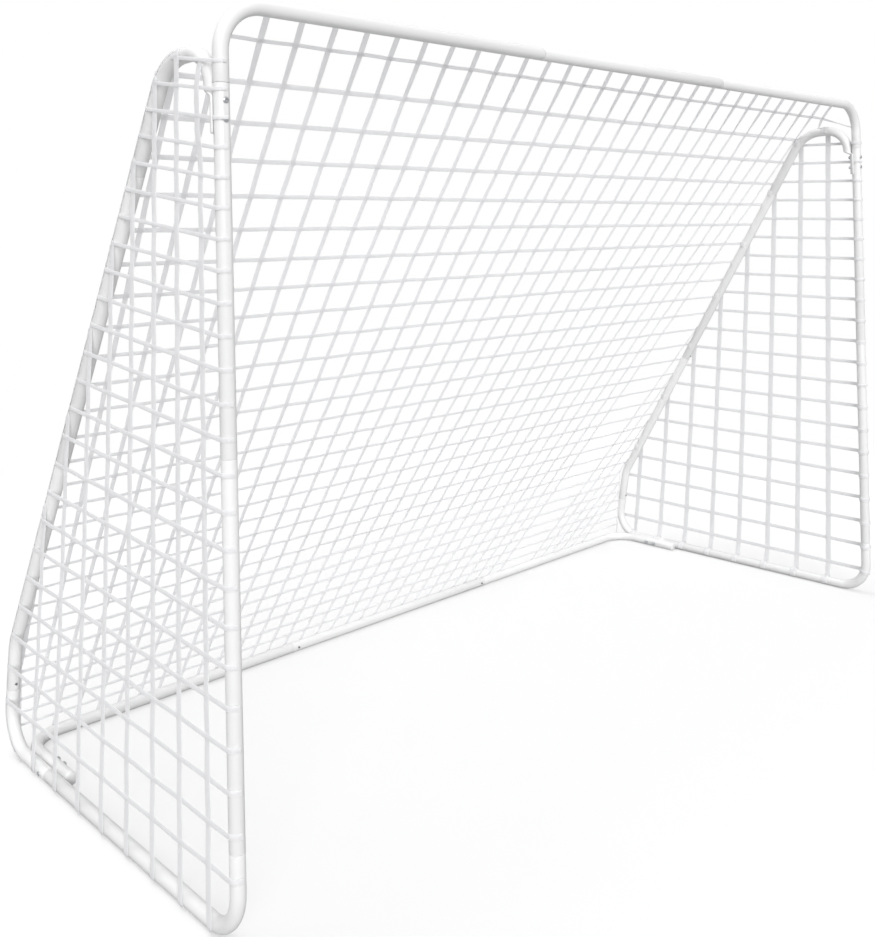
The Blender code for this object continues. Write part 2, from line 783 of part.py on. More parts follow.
def make_side_net(side, sign):
    """Side net on the outer face of the side frame, from the post to the stay."""
    toe_radius = FRONT_CORNER_RADIUS + TUBE_RADIUS
    toe_centre = Vector((FRONT_CORNER_RADIUS, FRONT_CORNER_RADIUS))
    toe_angle = math.asin((NET_FOOT - toe_centre.y) / toe_radius)
    heel_radius = REAR_CORNER_RADIUS + TUBE_RADIUS
    heel_centre = Vector((REAR_BEND_DEPTH, REAR_CORNER_RADIUS))
    heel_angle = math.asin((NET_FOOT - heel_centre.y) / heel_radius)
    leg_line = leg_point(0) + outward(LEG_UP) * TUBE_RADIUS
    stay_line = stay_point(0) + outward(STAY_UP) * TUBE_RADIUS
    top = ARC_HEIGHT + TUBE_RADIUS
    outline = swept(toe_centre, toe_radius, math.pi, math.pi - toe_angle)
    outline += swept(heel_centre, heel_radius, heel_angle, LEG_LEAN)
    outline.append(crossing(leg_line, LEG_UP, stay_line, STAY_UP))
    outline += swept(shoulder_centre(), ARC_SHOULDER_RADIUS + TUBE_RADIUS, STAY_LEAN, math.pi / 2)
    outline.append(Vector((-TUBE_RADIUS, top)))
    net_panel(f"net_{side}", outline, in_side_plane(sign * (HALF_SPAN + NET_OFFSET)))


def make_back_net():
    """Back net in three flat runs: over the arcs, down the stays, and between the short legs."""
    bar, top, knee, foot = net_profile()
    full = HALF_SPAN + TUBE_RADIUS
    between = HALF_SPAN - TUBE_RADIUS - CLEARANCE
    at_bar = HALF_SPAN - FRONT_CORNER_RADIUS
    runs = (
        ("net_roof", bar, top, at_bar, full),
        ("net_back", top, knee, full, full),
        ("net_back_low", knee, foot, between, between),
    )
    for name, high, low, high_width, low_width in runs:
        up = (high - low).normalized()
        length = (high - low).length - 2 * NET_THICKNESS
        start = low + up * NET_THICKNESS
        tilt = math.atan2(up.y, up.x)
        placement = Matrix.Translation(world(0, start.x, start.y)) @ Matrix.Rotation(tilt, 4, "X")
        outline = [(-low_width, 0), (low_width, 0), (high_width, length), (-high_width, length)]
        net_panel(name, outline, placement)


SIDES = {"left": -1, "right": 1}


def main():
    make_crossbar()
    bars = make_rear_bar()
    make_rear_bar_buttons(bars)
    for side, sign in SIDES.items():
        x = sign * HALF_SPAN
        post = make_post(side, x)
        make_front_foot(side, x)
        rear_foot = make_rear_foot(side, x)
        stay_lower, stay_upper = make_stay(side, x)
        arc = make_arc(side, x)
        make_leg_bolts(side, x, post, arc)
        make_tail_bolts(side, x, rear_foot, bars[side])
        make_side_buttons(side, x, rear_foot, stay_lower, stay_upper)
        make_side_net(side, sign)
    make_back_net()


main()
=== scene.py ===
"""Looks of the portable football goal: finer tubes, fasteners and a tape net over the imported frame.

Metres. X runs along the crossbar, Y from the mouth to the back, Z up from the ground. A depth is counted
back from the posts' centres and a height up from the ground bars' axes, as in the frame's own drawing.
"""

import math

import bmesh
import bpy
from bpy.props import FloatProperty, FloatVectorProperty, IntProperty, PointerProperty, StringProperty
from mathutils import Matrix, Vector

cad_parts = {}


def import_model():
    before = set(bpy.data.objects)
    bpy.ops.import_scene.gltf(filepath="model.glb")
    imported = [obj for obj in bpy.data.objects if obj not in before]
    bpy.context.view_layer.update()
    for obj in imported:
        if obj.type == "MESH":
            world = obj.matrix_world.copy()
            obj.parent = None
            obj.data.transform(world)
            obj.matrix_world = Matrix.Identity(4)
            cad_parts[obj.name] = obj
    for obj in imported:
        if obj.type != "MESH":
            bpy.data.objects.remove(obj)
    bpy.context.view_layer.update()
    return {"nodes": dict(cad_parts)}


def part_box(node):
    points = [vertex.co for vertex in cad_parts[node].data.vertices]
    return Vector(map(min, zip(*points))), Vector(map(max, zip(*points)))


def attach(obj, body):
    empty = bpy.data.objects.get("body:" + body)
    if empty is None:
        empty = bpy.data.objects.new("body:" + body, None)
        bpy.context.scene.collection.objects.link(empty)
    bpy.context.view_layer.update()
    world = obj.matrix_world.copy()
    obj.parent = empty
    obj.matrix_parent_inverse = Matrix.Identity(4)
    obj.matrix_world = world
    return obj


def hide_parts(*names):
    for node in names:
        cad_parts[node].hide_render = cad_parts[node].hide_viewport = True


bl_info = {
    "name": "Portable football goal",
    "version": (1, 0, 0),
    "blender": (4, 5, 0),
    "location": "View3D > Sidebar > Goal",
    "description": "Dresses the packed frame of a portable goal with painted tubes, bolts, buttons and a net",
    "category": "Object",
}

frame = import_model()

# Driving dimensions of the frame

WIDTH = 3.000
HEIGHT = 2.000
TUBE_DIAMETER = 0.035
TUBE_WALL = 0.0015
FRONT_CORNER_RADIUS = 0.105
REAR_CORNER_RADIUS = 0.098
KNEE_RADIUS = 0.150
KNEE_HEIGHT = 0.305
STAY_FOOT_DEPTH = 1.372
LEG_LEAN = math.radians(10.2)
ARC_DROP = 0.0927
ARC_SHOULDER_DEPTH = 0.2242
ARC_SHOULDER_RADIUS = 0.130
ARC_FRONT_RADIUS = 0.088
REAR_BAR_SETBACK = 0.0066
REAR_BAR_CORNER_RADIUS = 0.100

# Where the tubes are divided

POST_TOP_DROP = 0.066
POST_MIDDLE_SEAM = 1.010
POST_FOOT_RISE = 0.085
STAY_TOP_DROP = 0.246
STAY_BUTTON_HEIGHT = 0.903
LEG_BUTTON_HEIGHT = 0.188
GROUND_SEAM_LEAD = 0.030
TAIL_LEAD = 0.095
CROSSBAR_SEAM_SHARE = 0.345
REAR_BAR_SEAM_SHARE = 1 / 3

# Swaged joints, spring buttons and bolts

CLEARANCE = 0.0003
SPIGOT_LENGTH = 0.060
NECK_LENGTH = 0.002
LEAD_IN = 0.001
BUTTON_SETBACK = 0.022
BUTTON_DIAMETER = 0.007
BUTTON_STAND = 0.0035
SPRING_WIDTH = 0.008
SPRING_THICKNESS = 0.0008
SPRING_BACK = 0.006
SPRING_REACH = 0.020
BOLT_DIAMETER = 0.008
BOLT_HEAD_DIAMETER = 0.014
BOLT_HEAD_HEIGHT = 0.003
BOLT_END = 0.002
NUT_ACROSS_FLATS = 0.013
NUT_HEIGHT = 0.0065
BOLT_SPACING = 0.040
LEG_BOLT_DROP = 0.009
TAIL_BOLT_LEAD = 0.080
SADDLE_THICKNESS = 0.0065
SADDLE_LEAD = 0.001
SADDLE_BLEND = 0.018
SADDLE_TAIL = 0.027

# Values that follow from the ones above. The frame's tubes have sixteen flats, which set its outer faces.

TUBE_RADIUS = TUBE_DIAMETER / 2
FLAT_SHARE = math.cos(math.pi / 16)
TUBE_FLAT = TUBE_RADIUS * FLAT_SHARE
HALF_SPAN = WIDTH / 2 - TUBE_RADIUS
BAR_HEIGHT = HEIGHT - 2 * TUBE_FLAT
SPIGOT_RADIUS = TUBE_RADIUS - TUBE_WALL - CLEARANCE
SPIGOT_BORE = (SPIGOT_RADIUS - TUBE_WALL) * FLAT_SHARE
LEG_OFFSET = 2 * TUBE_RADIUS + CLEARANCE
ARC_HEIGHT = BAR_HEIGHT - ARC_DROP
SHOULDER = Vector((ARC_SHOULDER_DEPTH, ARC_HEIGHT))
STAY_LEAN = math.atan((STAY_FOOT_DEPTH - ARC_SHOULDER_DEPTH) / ARC_HEIGHT)
STAY_UP = Vector((-math.sin(STAY_LEAN), math.cos(STAY_LEAN)))
LEG_UP = Vector((-math.sin(LEG_LEAN), math.cos(LEG_LEAN)))
KNEE = Vector((STAY_FOOT_DEPTH - KNEE_HEIGHT * math.tan(STAY_LEAN), KNEE_HEIGHT))
REAR_CORNER = Vector((KNEE.x + KNEE.y * math.tan(LEG_LEAN), 0))
REAR_BEND_REACH = REAR_CORNER_RADIUS / math.tan((math.pi / 2 - LEG_LEAN) / 2)
REAR_BAR_DEPTH = REAR_CORNER.x - REAR_BEND_REACH + REAR_CORNER_RADIUS - REAR_BAR_SETBACK
REAR_TAIL_BOLT = REAR_BAR_DEPTH - REAR_BAR_CORNER_RADIUS - TAIL_BOLT_LEAD
FRONT_TAIL_BOLT = REAR_TAIL_BOLT - BOLT_SPACING
GROUND_SEAM_DEPTH = FRONT_TAIL_BOLT - GROUND_SEAM_LEAD
TAIL_END_DEPTH = FRONT_TAIL_BOLT - TAIL_LEAD
POST_TOP_SEAM = BAR_HEIGHT - FRONT_CORNER_RADIUS - POST_TOP_DROP
POST_FOOT_SEAM = FRONT_CORNER_RADIUS + POST_FOOT_RISE
STAY_TOP_SEAM = ARC_HEIGHT - STAY_TOP_DROP
SADDLE_TOP = ARC_HEIGHT - ARC_FRONT_RADIUS - SADDLE_LEAD
HIGH_LEG_BOLT = SADDLE_TOP - SADDLE_BLEND - LEG_BOLT_DROP
LOW_LEG_BOLT = HIGH_LEG_BOLT - BOLT_SPACING
ARC_LEG_END = LOW_LEG_BOLT - SADDLE_TAIL
TAIL_REACH = HALF_SPAN - 2 * TUBE_RADIUS - CLEARANCE
TAIL_GRIP = 2 * TUBE_FLAT + 2 * TUBE_RADIUS + CLEARANCE
LEG_GRIP = TUBE_FLAT + (TUBE_RADIUS + CLEARANCE + SADDLE_THICKNESS) * FLAT_SHARE
BOLT_HOLE = BOLT_DIAMETER / 2 + CLEARANCE
BUTTON_HOLE = BUTTON_DIAMETER / 2 + CLEARANCE
MIDDLE_DEPTH = -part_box("post_lower_left")[0].y - TUBE_FLAT
SIDES = {"left": -1, "right": 1}

# Finer forms, which only this script draws

CREASE_ANGLE = math.radians(32)
RIM_ANGLE = math.radians(35)
SADDLE_SPREAD = math.radians(79)
SADDLE_STEPS = 9
SADDLE_RIM_SHARE = 0.12
BUTTON_HOLE_START = 0.008
BUTTON_DOME_SHARE = 0.5
SPRING_BOW_SHARE = 0.6
HEAD_EDGE = 0.0004
HEAD_UNDERCUT = 0.0002
THREAD_RING = 0.000625
THREAD_DEPTH = 0.0006
THREAD_END_CHAMFER = 0.0009
NUT_CHAMFER = 0.0009
NUT_FACE_SHARE = 0.96
NUT_BLANK_SHARE = 1.2
PLUG_INSET = 0.0006
PLUG_DOME = 0.0028
PLUG_DEPTH = 0.006
PLUG_RADIUS = TUBE_RADIUS - PLUG_INSET
PLUG_SHANK = SPIGOT_RADIUS
PLUG_PROFILE = (
    (0, PLUG_DOME),
    (0.45 * PLUG_RADIUS, 0.0025),
    (0.8 * PLUG_RADIUS, PLUG_DOME / 2),
    (PLUG_RADIUS, 0),
    (PLUG_SHANK, -0.0001),
    (PLUG_SHANK, -PLUG_DEPTH),
    (0, -PLUG_DEPTH),
)

# Where the photo was taken from: beside the left post, before both posts and above the ground bars' axes

EYE_BESIDE = 1.148
EYE_BEFORE = 1.8662
EYE_HEIGHT = 1.4553


def world(x, depth, height):
    """World position of a point given from the posts and the ground bars' axes."""
    return Vector((x, depth - MIDDLE_DEPTH, height + TUBE_FLAT))


def stay_point(height):
    """Point (depth, height) on the axis of the sloping stay."""
    return Vector((STAY_FOOT_DEPTH - height * math.tan(STAY_LEAN), height))


def leg_point(height):
    """Point (depth, height) on the axis of the short rear leg."""
    return Vector((REAR_CORNER.x - height * math.tan(LEG_LEAN), height))


def outward(up):
    """Normal of a sloping line in the side plane, pointing backwards and up."""
    return Vector((up.y, -up.x))


def aimed(origin, direction, along):
    """Placement with Z along a direction and X as near as may be to another."""
    z_axis = direction.normalized()
    y_axis = z_axis.cross(along).normalized()
    x_axis = y_axis.cross(z_axis)
    return Matrix.Translation(origin) @ Matrix((x_axis, y_axis, z_axis)).transposed().to_4x4()


def smooth(share):
    """Share of a change that starts and ends gently."""
    return share * share * (3 - 2 * share)


def eased(value, far, near):
    """Zero beyond one distance, one within another, and smooth between them."""
    return smooth(min(max((far - value) / (far - near), 0), 1))


def oval_arc(centre, across, tall, degrees):
    """Points (across, height) of an oval about a centre, at angles counted from its top."""
    turns = [math.radians(angle) for angle in degrees]
    return [(centre[0] + across * math.sin(turn), centre[1] + tall * math.cos(turn)) for turn in turns]


EYE = world(-HALF_SPAN - EYE_BESIDE, -EYE_BEFORE, EYE_HEIGHT)


# Settings that a user would change


class TubeSettings(bpy.types.PropertyGroup):
    """How finely the tubes are drawn, and their coat"""

    sides: IntProperty(name="Sides", description="Faces round a tube", default=40, min=16)
    bend_step: FloatProperty(
        name="Bend step",
        description="Turn between rings in a bend",
        default=math.radians(3),
        subtype="ANGLE",
    )
    edge: FloatProperty(
        name="Edge",
        description="Rounding of cut tube ends",
        default=0.0003,
        unit="LENGTH",
        precision=5,
    )
    paint: StringProperty(name="Paint", description="Powder coat, sRGB hex", default="#DEDEDE")
    peel: FloatProperty(
        name="Orange peel",
        description="Size of the coat's waves",
        default=0.004,
        unit="LENGTH",
        precision=4,
    )


class FastenerSettings(bpy.types.PropertyGroup):
    """How finely the bolts, nuts and buttons are drawn, and their metals"""

    facets: IntProperty(name="Facets", description="Faces round a bolt or button", default=32, min=12)
    socket: FloatProperty(
        name="Socket",
        description="Hexagon socket across its flats",
        default=0.005,
        unit="LENGTH",
        precision=4,
    )
    socket_depth: FloatProperty(
        name="Socket depth",
        description="Depth of the hexagon socket",
        default=0.002,
        unit="LENGTH",
        precision=4,
    )
    zinc: StringProperty(name="Zinc", description="Zinc plating, sRGB hex", default="#CFD1D4")
    spring: StringProperty(name="Spring steel", description="Hardened steel, sRGB hex", default="#8E9196")


class NetSettings(bpy.types.PropertyGroup):
    """Widths, thickness, weave and colour of the net's tapes"""

    column_share: FloatProperty(
        name="Column share",
        description="Width of an upright tape as a share of the gap beside it",
        default=0.155,
    )
    row_share: FloatProperty(
        name="Row share",
        description="Width of a level side tape as a share of the gap beside it",
        default=0.144,
    )
    back_row_top: FloatProperty(
        name="Top back row",
        description="Width of the back net's highest tape",
        default=0.0145,
        unit="LENGTH",
        precision=4,
    )
    back_row_foot: FloatProperty(
        name="Low back row",
        description="Width of the back net's lowest tape",
        default=0.0085,
        unit="LENGTH",
        precision=4,
    )
    thickness: FloatProperty(
        name="Thickness",
        description="Thickness of a tape",
        default=0.002,
        unit="LENGTH",
        precision=4,
    )
    lift: FloatProperty(
        name="Weave lift",
        description="How far a tape rises at a crossing",
        default=0.001,
        unit="LENGTH",
        precision=4,
    )
    border: FloatProperty(
        name="Border",
        description="Width of the edge tapes",
        default=0.008,
        unit="LENGTH",
        precision=4,
    )
    tape: StringProperty(name="Tape", description="Woven polyester, sRGB hex", default="#FBFBFC")
    thread: FloatProperty(
        name="Thread",
        description="Spacing of the weave's threads",
        default=0.0016,
        unit="LENGTH",
        precision=4,
    )


class StageSettings(bpy.types.PropertyGroup):
    """Floor, lights and camera"""

    floor: StringProperty(name="Floor", description="Floor, sRGB hex", default="#ACACAC")
    floor_size: FloatProperty(name="Floor size", description="Side of the floor", default=60.0, unit="LENGTH")
    floor_glow: FloatProperty(name="Floor glow", description="What the view adds to the floor", default=0.47)
    key_power: FloatProperty(name="Key", description="Strength of the overhead light", default=1.25)
    fill_power: FloatProperty(name="Fill", description="Strength of the front light", default=2.55)
    sky: FloatProperty(name="Sky", description="Strength of the soft light from above", default=0.85)
    horizon: FloatProperty(
        name="Horizon",
        description="Strength of the soft light from the sides",
        default=0.28,
    )
    lens: FloatProperty(name="Lens", description="Focal length in millimetres", default=39.47)
    eye: FloatVectorProperty(
        name="Eye",
        description="Place of the camera",
        default=tuple(EYE),
        subtype="TRANSLATION",
    )
    aim: FloatVectorProperty(
        name="Aim",
        description="Turn of the camera",
        default=tuple(math.radians(angle) for angle in (90.186, 1.253, -43.317)),
        subtype="EULER",
    )
    rise: FloatProperty(name="Rise", description="Upward shift of the lens, as a share", default=-0.2468)


# Materials, and the real sizes of their patterns

CLOUD_SIZE = 0.333
SPECK_SIZE = 0.0111
ZINC_GRAIN = 0.00111
ZINC_HAZE = 0.00455
ROLL_LINE = 0.000714
ROLL_RUN = 0.0167
PAPER_FIBRE = 0.025
PAPER_NEAR = 2.6
PAPER_FAR = 4.5
SHADED = {"data_type": "RGBA", "blend_type": "MULTIPLY"}


def linear(hex_colour):
    """Linear colour with full alpha from an sRGB hex value."""
    channels = [int(hex_colour[index : index + 2], 16) / 255 for index in (1, 3, 5)]
    return tuple(c / 12.92 if c <= 0.04045 else ((c + 0.055) / 1.055) ** 2.4 for c in channels) + (1.0,)


def node_adder(tree):
    """Empty a node tree, and give the function that adds its nodes."""
    tree.nodes.clear()

    def add(kind, settings=None, **inputs):
        """Add a node, set its properties, and set or link its inputs by name, or as _0, _1 and so on."""
        node = tree.nodes.new(kind)
        for key, value in (settings or {}).items():
            setattr(node, key, value)
        for key, value in inputs.items():
            numbered = key[0] == "_"
            socket = node.inputs[int(key[1:]) if numbered else key.replace("_", " ")]
            if isinstance(value, bpy.types.NodeSocket):
                tree.links.new(value, socket)
            else:
                socket.default_value = value
        return node

    return add


def new_material(name):
    """Empty node material, and the function that adds its nodes."""
    material = bpy.data.materials.new(name)
    material.use_nodes = True
    return material, node_adder(material.node_tree)


def powder_coated_steel(settings):
    """Steel tube under baked white powder: a satin coat with a faint orange peel and cloudy gloss."""
    material, add = new_material("powder_coated_steel")
    place = add("ShaderNodeTexCoord").outputs["Object"]
    peel = add("ShaderNodeTexNoise", Vector=place, Scale=1 / settings.peel, Detail=2.0, Roughness=0.4)
    cloud = add("ShaderNodeTexNoise", Vector=place, Scale=1 / CLOUD_SIZE, Detail=3.0, Roughness=0.5)
    dust = add("ShaderNodeTexNoise", Vector=place, Scale=1 / SPECK_SIZE, Detail=4.0, Roughness=0.6)
    shade = add("ShaderNodeMapRange", _0=cloud.outputs["Fac"], _1=0.3, _2=0.7, _3=0.965, _4=1.0)
    speck = add("ShaderNodeMapRange", _0=dust.outputs["Fac"], _1=0.62, _2=0.78, _3=1.0, _4=0.94)
    both = add("ShaderNodeMath", {"operation": "MULTIPLY"}, _0=shade.outputs[0], _1=speck.outputs[0])
    tint = add("ShaderNodeMix", SHADED, _0=1.0, _6=linear(settings.paint), _7=both.outputs[0])
    gloss = add("ShaderNodeMapRange", _0=cloud.outputs["Fac"], _1=0.3, _2=0.7, _3=0.34, _4=0.46)
    bump = add("ShaderNodeBump", Strength=0.12, Distance=0.0004, Height=peel.outputs["Fac"])
    shader = add(
        "ShaderNodeBsdfPrincipled",
        Base_Color=tint.outputs[2],
        Roughness=gloss.outputs[0],
        Normal=bump.outputs["Normal"],
    )
    shader.inputs["Metallic"].default_value = 0.0
    shader.inputs["IOR"].default_value = 1.5
    shader.inputs["Specular IOR Level"].default_value = 0.4
    add("ShaderNodeOutputMaterial", Surface=shader.outputs[0])
    return material


def zinc_plated_steel(settings):
    """Bright zinc on a turned or cold-formed fastener: grey metal with a fine crystalline mottle."""
    material, add = new_material("zinc_plated_steel")
    place = add("ShaderNodeTexCoord").outputs["Object"]
    grain = add("ShaderNodeTexVoronoi", Vector=place, Scale=1 / ZINC_GRAIN)
    haze = add("ShaderNodeTexNoise", Vector=place, Scale=1 / ZINC_HAZE, Detail=4.0)
    shade = add("ShaderNodeMapRange", _0=grain.outputs["Distance"], _1=0.0, _2=0.9, _3=0.82, _4=1.0)
    tint = add("ShaderNodeMix", SHADED, _0=1.0, _6=linear(settings.zinc), _7=shade.outputs[0])
    gloss = add("ShaderNodeMapRange", _0=haze.outputs["Fac"], _1=0.3, _2=0.7, _3=0.24, _4=0.42)
    bump = add("ShaderNodeBump", Strength=0.15, Distance=0.0001, Height=haze.outputs["Fac"])
    shader = add(
        "ShaderNodeBsdfPrincipled",
        Base_Color=tint.outputs[2],
        Roughness=gloss.outputs[0],
        Normal=bump.outputs["Normal"],
    )
    shader.inputs["Metallic"].default_value = 1.0
    add("ShaderNodeOutputMaterial", Surface=shader.outputs[0])
    return material


def hardened_spring_steel(settings):
    """Rolled and tempered strip: darker metal with fine level lines left by the rolls."""
    material, add = new_material("hardened_spring_steel")
    place = add("ShaderNodeTexCoord").outputs["Object"]
    drawn = add("ShaderNodeMapping", Vector=place, Scale=(1 / ROLL_RUN, 1 / ROLL_RUN, 1 / ROLL_LINE))
    lines = add("ShaderNodeTexNoise", Vector=drawn.outputs[0], Scale=1.0, Detail=3.0)
    shade = add("ShaderNodeMapRange", _0=lines.outputs["Fac"], _1=0.3, _2=0.7, _3=0.8, _4=1.0)
    tint = add("ShaderNodeMix", SHADED, _0=1.0, _6=linear(settings.spring), _7=shade.outputs[0])
    gloss = add("ShaderNodeMapRange", _0=lines.outputs["Fac"], _1=0.3, _2=0.7, _3=0.22, _4=0.38)
    bump = add("ShaderNodeBump", Strength=0.1, Distance=0.0001, Height=lines.outputs["Fac"])
    shader = add(
        "ShaderNodeBsdfPrincipled",
        Base_Color=tint.outputs[2],
        Roughness=gloss.outputs[0],
        Normal=bump.outputs["Normal"],
    )
    shader.inputs["Metallic"].default_value = 1.0
    add("ShaderNodeOutputMaterial", Surface=shader.outputs[0])
    return material


def woven_polyester_tape(settings):
    """Flat woven polyester tape: matt, with a plain weave of threads that is drawn coarse enough to show, and
    painted shade where the weave sinks between its threads.
    """
    material, add = new_material("woven_polyester_tape")
    weave = add("ShaderNodeAttribute", {"attribute_name": "weave"})
    scale = 1 / settings.thread
    lanes = add("ShaderNodeMapping", Vector=weave.outputs["Vector"], Scale=(scale, scale, 1.0))
    turned = add("ShaderNodeMapping", Vector=lanes.outputs[0], Rotation=(0.0, 0.0, math.radians(45)))
    threads = add("ShaderNodeTexChecker", Vector=turned.outputs[0], Scale=1.0)
    fibre = add("ShaderNodeTexNoise", Vector=lanes.outputs[0], Scale=3.0, Detail=3.0)
    product = {"operation": "MULTIPLY"}
    depth = add("ShaderNodeMath", product, _0=threads.outputs["Fac"], _1=fibre.outputs["Fac"])
    # Painted shade: the tape's colour darkens to 93 % where the weave sinks, standing in for the shade in its
    # hollows.
    shade = add("ShaderNodeMapRange", _0=depth.outputs[0], _1=0.0, _2=0.6, _3=0.93, _4=1.0)
    tint = add("ShaderNodeMix", SHADED, _0=1.0, _6=linear(settings.tape), _7=shade.outputs[0])
    bump = add("ShaderNodeBump", Strength=0.35, Distance=0.0003, Height=depth.outputs[0])
    shader = add(
        "ShaderNodeBsdfPrincipled",
        Base_Color=tint.outputs[2],
        Roughness=0.82,
        Normal=bump.outputs["Normal"],
    )
    shader.inputs["Metallic"].default_value = 0.0
    shader.inputs["Sheen Weight"].default_value = 0.15
    through = add("ShaderNodeBsdfTranslucent", Color=tint.outputs[2])
    cloth = add("ShaderNodeMixShader", _0=0.5, _1=shader.outputs[0], _2=through.outputs[0])
    add("ShaderNodeOutputMaterial", Surface=cloth.outputs[0])
    return material


def studio_floor(settings):
    """Matt paper: white where the light is full, grey in the goal's soft shadow, and plain white far off."""
    material, add = new_material("studio_paper")
    path = add("ShaderNodeLightPath")
    place = add("ShaderNodeTexCoord").outputs["Object"]
    fibre = add("ShaderNodeTexNoise", Vector=place, Scale=1 / PAPER_FIBRE)
    away = add("ShaderNodeVectorMath", {"operation": "LENGTH"}, _0=place)
    far = add("ShaderNodeMapRange", _0=away.outputs["Value"], _1=PAPER_NEAR, _2=PAPER_FAR)
    rough = add("ShaderNodeMapRange", _0=fibre.outputs["Fac"], _3=0.0, _4=0.1)
    paper = add("ShaderNodeBsdfDiffuse", Color=linear(settings.floor), Roughness=rough.outputs[0])
    seen = path.outputs["Is Camera Ray"]
    lit = add("ShaderNodeMath", {"operation": "MULTIPLY"}, _0=seen, _1=settings.floor_glow)
    glow = add("ShaderNodeEmission", Strength=lit.outputs[0])
    near = add("ShaderNodeAddShader", _0=paper.outputs[0], _1=glow.outputs[0])
    white = add("ShaderNodeEmission", Strength=1.0)
    plain = add("ShaderNodeMath", {"operation": "MULTIPLY"}, _0=seen, _1=far.outputs[0])
    both = add("ShaderNodeMixShader", _0=plain.outputs[0], _1=near.outputs[0], _2=white.outputs[0])
    add("ShaderNodeOutputMaterial", Surface=both.outputs[0])
    return material


def material_of(slot_name):
    """The one material of a record slot, made the first time it is asked for."""
    goal = bpy.context.scene
    makers = {
        "white_paint": ("powder_coated_steel", powder_coated_steel, goal.goal_tubes),
        "zinc": ("zinc_plated_steel", zinc_plated_steel, goal.goal_fasteners),
        "spring_steel": ("hardened_spring_steel", hardened_spring_steel, goal.goal_fasteners),
        "twine": ("woven_polyester_tape", woven_polyester_tape, goal.goal_net),
    }
    name, maker, settings = makers[slot_name]
    return bpy.data.materials.get(name) or maker(settings)


# Plain steps of mesh work


def to_object(name, shape):
    """Mesh object at the origin from a bmesh, which is freed."""
    mesh = bpy.data.meshes.new(name)
    shape.to_mesh(mesh)
    shape.free()
    obj = bpy.data.objects.new(name, mesh)
    bpy.context.scene.collection.objects.link(obj)
    return obj


def apply_modifiers(obj):
    """Put what the modifiers make into the mesh itself, and drop them."""
    bpy.context.view_layer.update()
    graph = bpy.context.evaluated_depsgraph_get()
    made = bpy.data.meshes.new_from_object(obj.evaluated_get(graph), depsgraph=graph)
    obj.modifiers.clear()
    obj.data = made
    return obj


def boolean(obj, other, operation):
    """Cut, join or intersect with another object, which is then removed."""
    modifier = obj.modifiers.new("boolean", "BOOLEAN")
    modifier.operation = operation
    modifier.solver = "EXACT"
    modifier.object = other
    apply_modifiers(obj)
    bpy.data.objects.remove(other, do_unlink=True)


def dress(obj, slot_name, body, *nodes):
    """Shade a finished piece, give it its material, tie it to its body, and hide the nodes it stands for."""
    obj.data.materials.clear()
    obj.data.materials.append(material_of(slot_name))
    obj.data.shade_smooth()
    obj.data.set_sharp_from_angle(angle=CREASE_ANGLE)
    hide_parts(*nodes)
    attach(obj, body)
    return obj


def extruded(shape, edges):
    """Extrude a run of edges, and give the vertices and edges of its new end."""
    grown = bmesh.ops.extrude_edge_only(shape, edges=edges)["geom"]
    points = [item for item in grown if isinstance(item, bmesh.types.BMVert)]
    fresh = set(points)
    rim = [item for item in grown if isinstance(item, bmesh.types.BMEdge) and set(item.verts) <= fresh]
    return points, rim


def spun(name, profile, facets):
    """Solid of revolution about Z from a profile of (radius, height) that starts and ends on the axis."""
    shape = bmesh.new()
    points = [shape.verts.new((radius, 0, height)) for radius, height in profile]
    edges = [shape.edges.new(pair) for pair in zip(points, points[1:])]
    bmesh.ops.spin(
        shape,
        geom=points + edges,
        cent=(0, 0, 0),
        axis=(0, 0, 1),
        angle=2 * math.pi,
        steps=facets,
        use_merge=True,
    )
    bmesh.ops.remove_doubles(shape, verts=shape.verts, dist=1e-6)
    bmesh.ops.recalc_face_normals(shape, faces=shape.faces)
    return to_object(name, shape)


def prism(name, sides, radius, low, high):
    """Upright prism about Z between two heights."""
    shape = bmesh.new()
    bmesh.ops.create_cone(
        shape,
        cap_ends=True,
        segments=sides,
        radius1=radius,
        radius2=radius,
        depth=high - low,
        matrix=Matrix.Translation((0, 0, (low + high) / 2)),
    )
    return to_object(name, shape)


# Tubes


